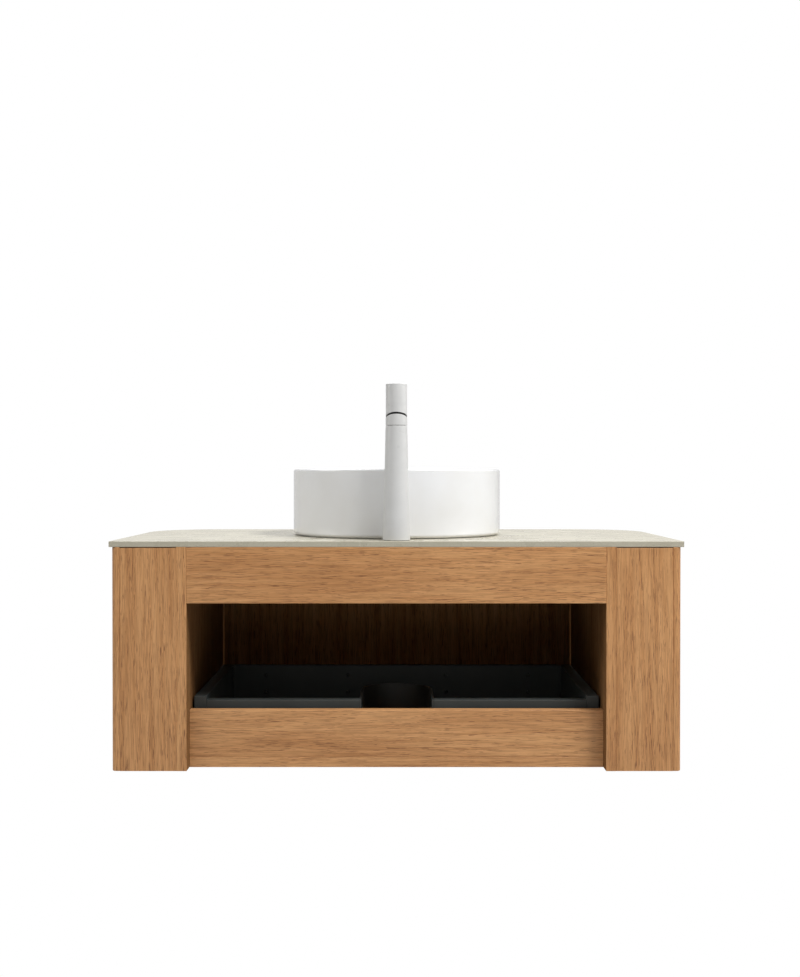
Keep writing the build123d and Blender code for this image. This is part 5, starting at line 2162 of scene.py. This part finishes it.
@dataclass
class MixerHandle(SubAssembly):
    """The lever: a plain drum whose foot clears the slanted collar."""

    body = "tap_lever"
    slant: float = math.tan(math.radians(22.5))
    cup: float = 16.4 * MM
    pivot_drop: float = 8.1 * MM  # pivot below the flat half of the foot
    shade_skin: float = 1.0 * MM
    edge: float = 0.6 * MM

    def build(self, at: Point) -> None:
        """Turn the drum, cupped over the dome, and dress the small parts.

        Args:
            at: X and Y of the mixer's axis.
        """
        low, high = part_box("tap_handle")
        radius = (high.x - low.x) / 2
        pivot = low.z - self.pivot_drop
        e = self.edge

        def cup(angle: float, ball: float, lift: float) -> list[Point]:
            """Give the cup from its pole to its mouth, which is lift above the foot.

            Args:
                angle: Angle about the axis.
                ball: Radius of the cup.
                lift: Height of the mouth above the foot.

            Returns:
                The cup's points.
            """
            slope = max(0.0, math.sin(angle)) * self.slant
            drop = self.pivot_drop + lift
            a, b, c = 1 + slope**2, 2 * drop * slope, drop**2 - ball**2
            mouth = (-b + math.sqrt(b * b - 4 * a * c)) / (2 * a)
            tilt = math.atan2(mouth, drop + slope * mouth)
            turns = [tilt * step / 10 for step in range(11)]
            return [(ball * math.sin(turn), pivot + ball * math.cos(turn)) for turn in turns]

        def section(angle: float) -> list[Point]:
            """Give the drum's section at an angle: cup, foot, wall and top.

            Args:
                angle: Angle about the axis.

            Returns:
                The section.
            """
            slope = max(0.0, math.sin(angle)) * self.slant
            foot = low.z + self.shade_skin + slope * radius
            rim = [
                (radius - e * (1 - math.cos(turn)), high.z - e * (1 - math.sin(turn)))
                for turn in [math.pi / 2 * step / 4 for step in range(5)]
            ]
            return [
                *cup(angle, self.cup + self.shade_skin, self.shade_skin),
                (radius - 0.4 * e, foot - 0.4 * e * slope),
                (radius, foot + 0.4 * e),
                *[(radius, foot + (high.z - e - foot) * step / 6) for step in range(1, 6)],
                *rim,
                (0.6 * radius, high.z),
                (0.0, high.z),
            ]

        def shade_skin(angle: float) -> list[Point]:
            """Give the section of the black skin that paints the shade under the lever: the cup's
            skin and the ring under the foot.

            Args:
                angle: Angle about the axis.

            Returns:
                The section.
            """
            slope = max(0.0, math.sin(angle)) * self.slant
            edge = radius - 0.15 * MM
            foot = low.z + slope * edge
            outer = cup(angle, self.cup + self.shade_skin, self.shade_skin)
            return [
                *cup(angle, self.cup, 0.0),
                (edge, foot),
                (edge, foot + self.shade_skin),
                *reversed(outer),
            ]

        # Black skin over the cup and under the foot: painted shade in the gap under the lever
        skin = turned("handle_lining", shade_skin, at, 160)
        self.put("handle_lining", skin, BLACK_ACETAL, "tap_handle")
        drum = turned("mixer_handle", section, at, 160)
        self.put("mixer_handle", drum, POWDER_COAT, "tap_handle")
        self.keep(ZINC_TURNED, "lever_stem", "grub_screw")
        self.keep(GREY_ABS, "index_plug")


@dataclass
class Studio:
    """The floor, the lights and the camera."""

    floor_height: float = -0.841  # the counter stands 900 mm above it
    camera_at: Place = (-0.0063, 2.190, 0.1725)
    camera_pitch: float = -0.57
    camera_lens: float = 46.5
    mirrored: float = 0.62  # brightness of the white surround in reflections
    ambient: float = 0.02
    aimed_at: Place = (0.0, -0.2, -0.05)

    def build(self) -> None:
        """Set the studio up."""
        self.lay_floor()
        self.hang_light("key_softbox", (-1.5, 1.0, 2.6), (1.0, 1.0), 106.0)
        self.hang_light("left_softbox", (1.5, 1.0, 2.6), (1.2, 1.2), 31.0)
        self.hang_light("left_fill", (3.0, 0.3, 1.0), (1.5, 1.5), 18.0)
        self.hang_light("right_fill", (-3.0, 0.3, 1.0), (1.5, 1.5), 12.0)
        self.hang_light("room_softbox", (0.3, -2.4, 2.4), (2.0, 1.4), 55.0)
        self.light_world()
        self.set_camera()
        bpy.context.scene.view_settings.view_transform = "Standard"

    def lay_floor(self) -> None:
        """Lay a plain pale floor."""
        mesh = bpy.data.meshes.new("studio_floor")
        reach, z = 30.0, self.floor_height
        corners = [(-reach, -reach, z), (reach, -reach, z), (reach, reach, z), (-reach, reach, z)]
        mesh.from_pydata(corners, [], [(0, 1, 2, 3)])
        paint = bpy.data.materials.new("matt_white_floor")
        paint.use_nodes = True
        tree = paint.node_tree
        tree.nodes.clear()
        matt = add_node(tree, "ShaderNodeBsdfDiffuse", {"Color": linear("#F2F2F0")})
        white = add_node(
            tree,
            "ShaderNodeEmission",
            {"Color": linear("#FFFFFF"), "Strength": self.seen(tree, 0.0)},
        )
        ray = add_node(tree, "ShaderNodeLightPath")
        direct = add_node(
            tree,
            "ShaderNodeMath",
            {0: ray.outputs["Is Camera Ray"], 1: ray.outputs["Is Glossy Ray"]},
            operation="MAXIMUM",
        )
        both = add_node(
            tree,
            "ShaderNodeMixShader",
            {0: direct.outputs[0], 1: matt.outputs[0], 2: white.outputs[0]},
        )
        add_node(tree, "ShaderNodeOutputMaterial", {"Surface": both.outputs[0]})
        mesh.materials.append(paint)
        floor = bpy.data.objects.new("studio_floor", mesh)
        bpy.context.scene.collection.objects.link(floor)

    def hang_light(self, name: str, place: Place, size: tuple[float, float], power: float) -> None:
        """Hang a softbox that points at the vanity.

        Args:
            name: Its name.
            place: Where it hangs.
            size: Its width and height.
            power: Its power in watts.
        """
        light = bpy.data.lights.new(name, "AREA")
        light.shape = "RECTANGLE"
        light.size, light.size_y = size
        light.energy = power
        lamp = bpy.data.objects.new(name, light)
        lamp.location = place
        aim = Vector(self.aimed_at) - Vector(place)
        lamp.rotation_euler = aim.to_track_quat("-Z", "Y").to_euler()
        bpy.context.scene.collection.objects.link(lamp)

    def seen(self, tree: bpy.types.NodeTree, ambient: float) -> bpy.types.NodeSocket:
        """Give the white surround's strength: full where seen, less where mirrored or ambient.

        Args:
            tree: The tree that gets the nodes.
            ambient: Its strength as a light.

        Returns:
            The strength's socket.
        """
        ray = add_node(tree, "ShaderNodeLightPath")
        mirrored = add_node(
            tree,
            "ShaderNodeMath",
            {0: ray.outputs["Is Glossy Ray"], 1: self.mirrored, 2: ambient},
            operation="MULTIPLY_ADD",
        )
        full = add_node(
            tree,
            "ShaderNodeMath",
            {0: ray.outputs["Is Camera Ray"], 1: mirrored.outputs[0]},
            operation="MAXIMUM",
        )
        return full.outputs[0]

    def light_world(self) -> None:
        """Make a white backdrop that lights the object only a little."""
        world = bpy.data.worlds.new("white_studio")
        world.use_nodes = True
        tree = world.node_tree
        tree.nodes.clear()
        sky = add_node(
            tree,
            "ShaderNodeBackground",
            {"Color": linear("#FFFFFF"), "Strength": self.seen(tree, self.ambient)},
        )
        add_node(tree, "ShaderNodeOutputWorld", {"Surface": sky.outputs[0]})
        bpy.context.scene.world = world

    def set_camera(self) -> None:
        """Set the camera behind the wall plane, level with the mixer's body."""
        camera = bpy.data.objects.new("studio_camera", bpy.data.cameras.new("studio_camera"))
        camera.location = self.camera_at
        camera.rotation_euler = (math.radians(90 + self.camera_pitch), 0.0, math.pi)
        camera.data.lens = self.camera_lens
        camera.data.sensor_width = 36.0
        bpy.context.scene.collection.objects.link(camera)
        bpy.context.scene.camera = camera


def main() -> None:
    """Build every sub-assembly, then the studio."""
    logging.basicConfig(level=logging.INFO, format="%(name)s: %(message)s")
    jig, thread, punch = SetOut(), Thread(), Punch()
    basin_at = Basin().build()
    tap_at = Mixer().build(jig, thread)
    Counter().build(basin_at, tap_at)
    Carcass().build()
    Drawer().build(jig)
    Runners().build(jig, punch)
    Waste().build(basin_at, thread)
    Plug().build(basin_at)
    MixerCollar().build(tap_at)
    MixerHandle().build(tap_at)
    Studio().build()


if __name__ == "__main__":
    main()
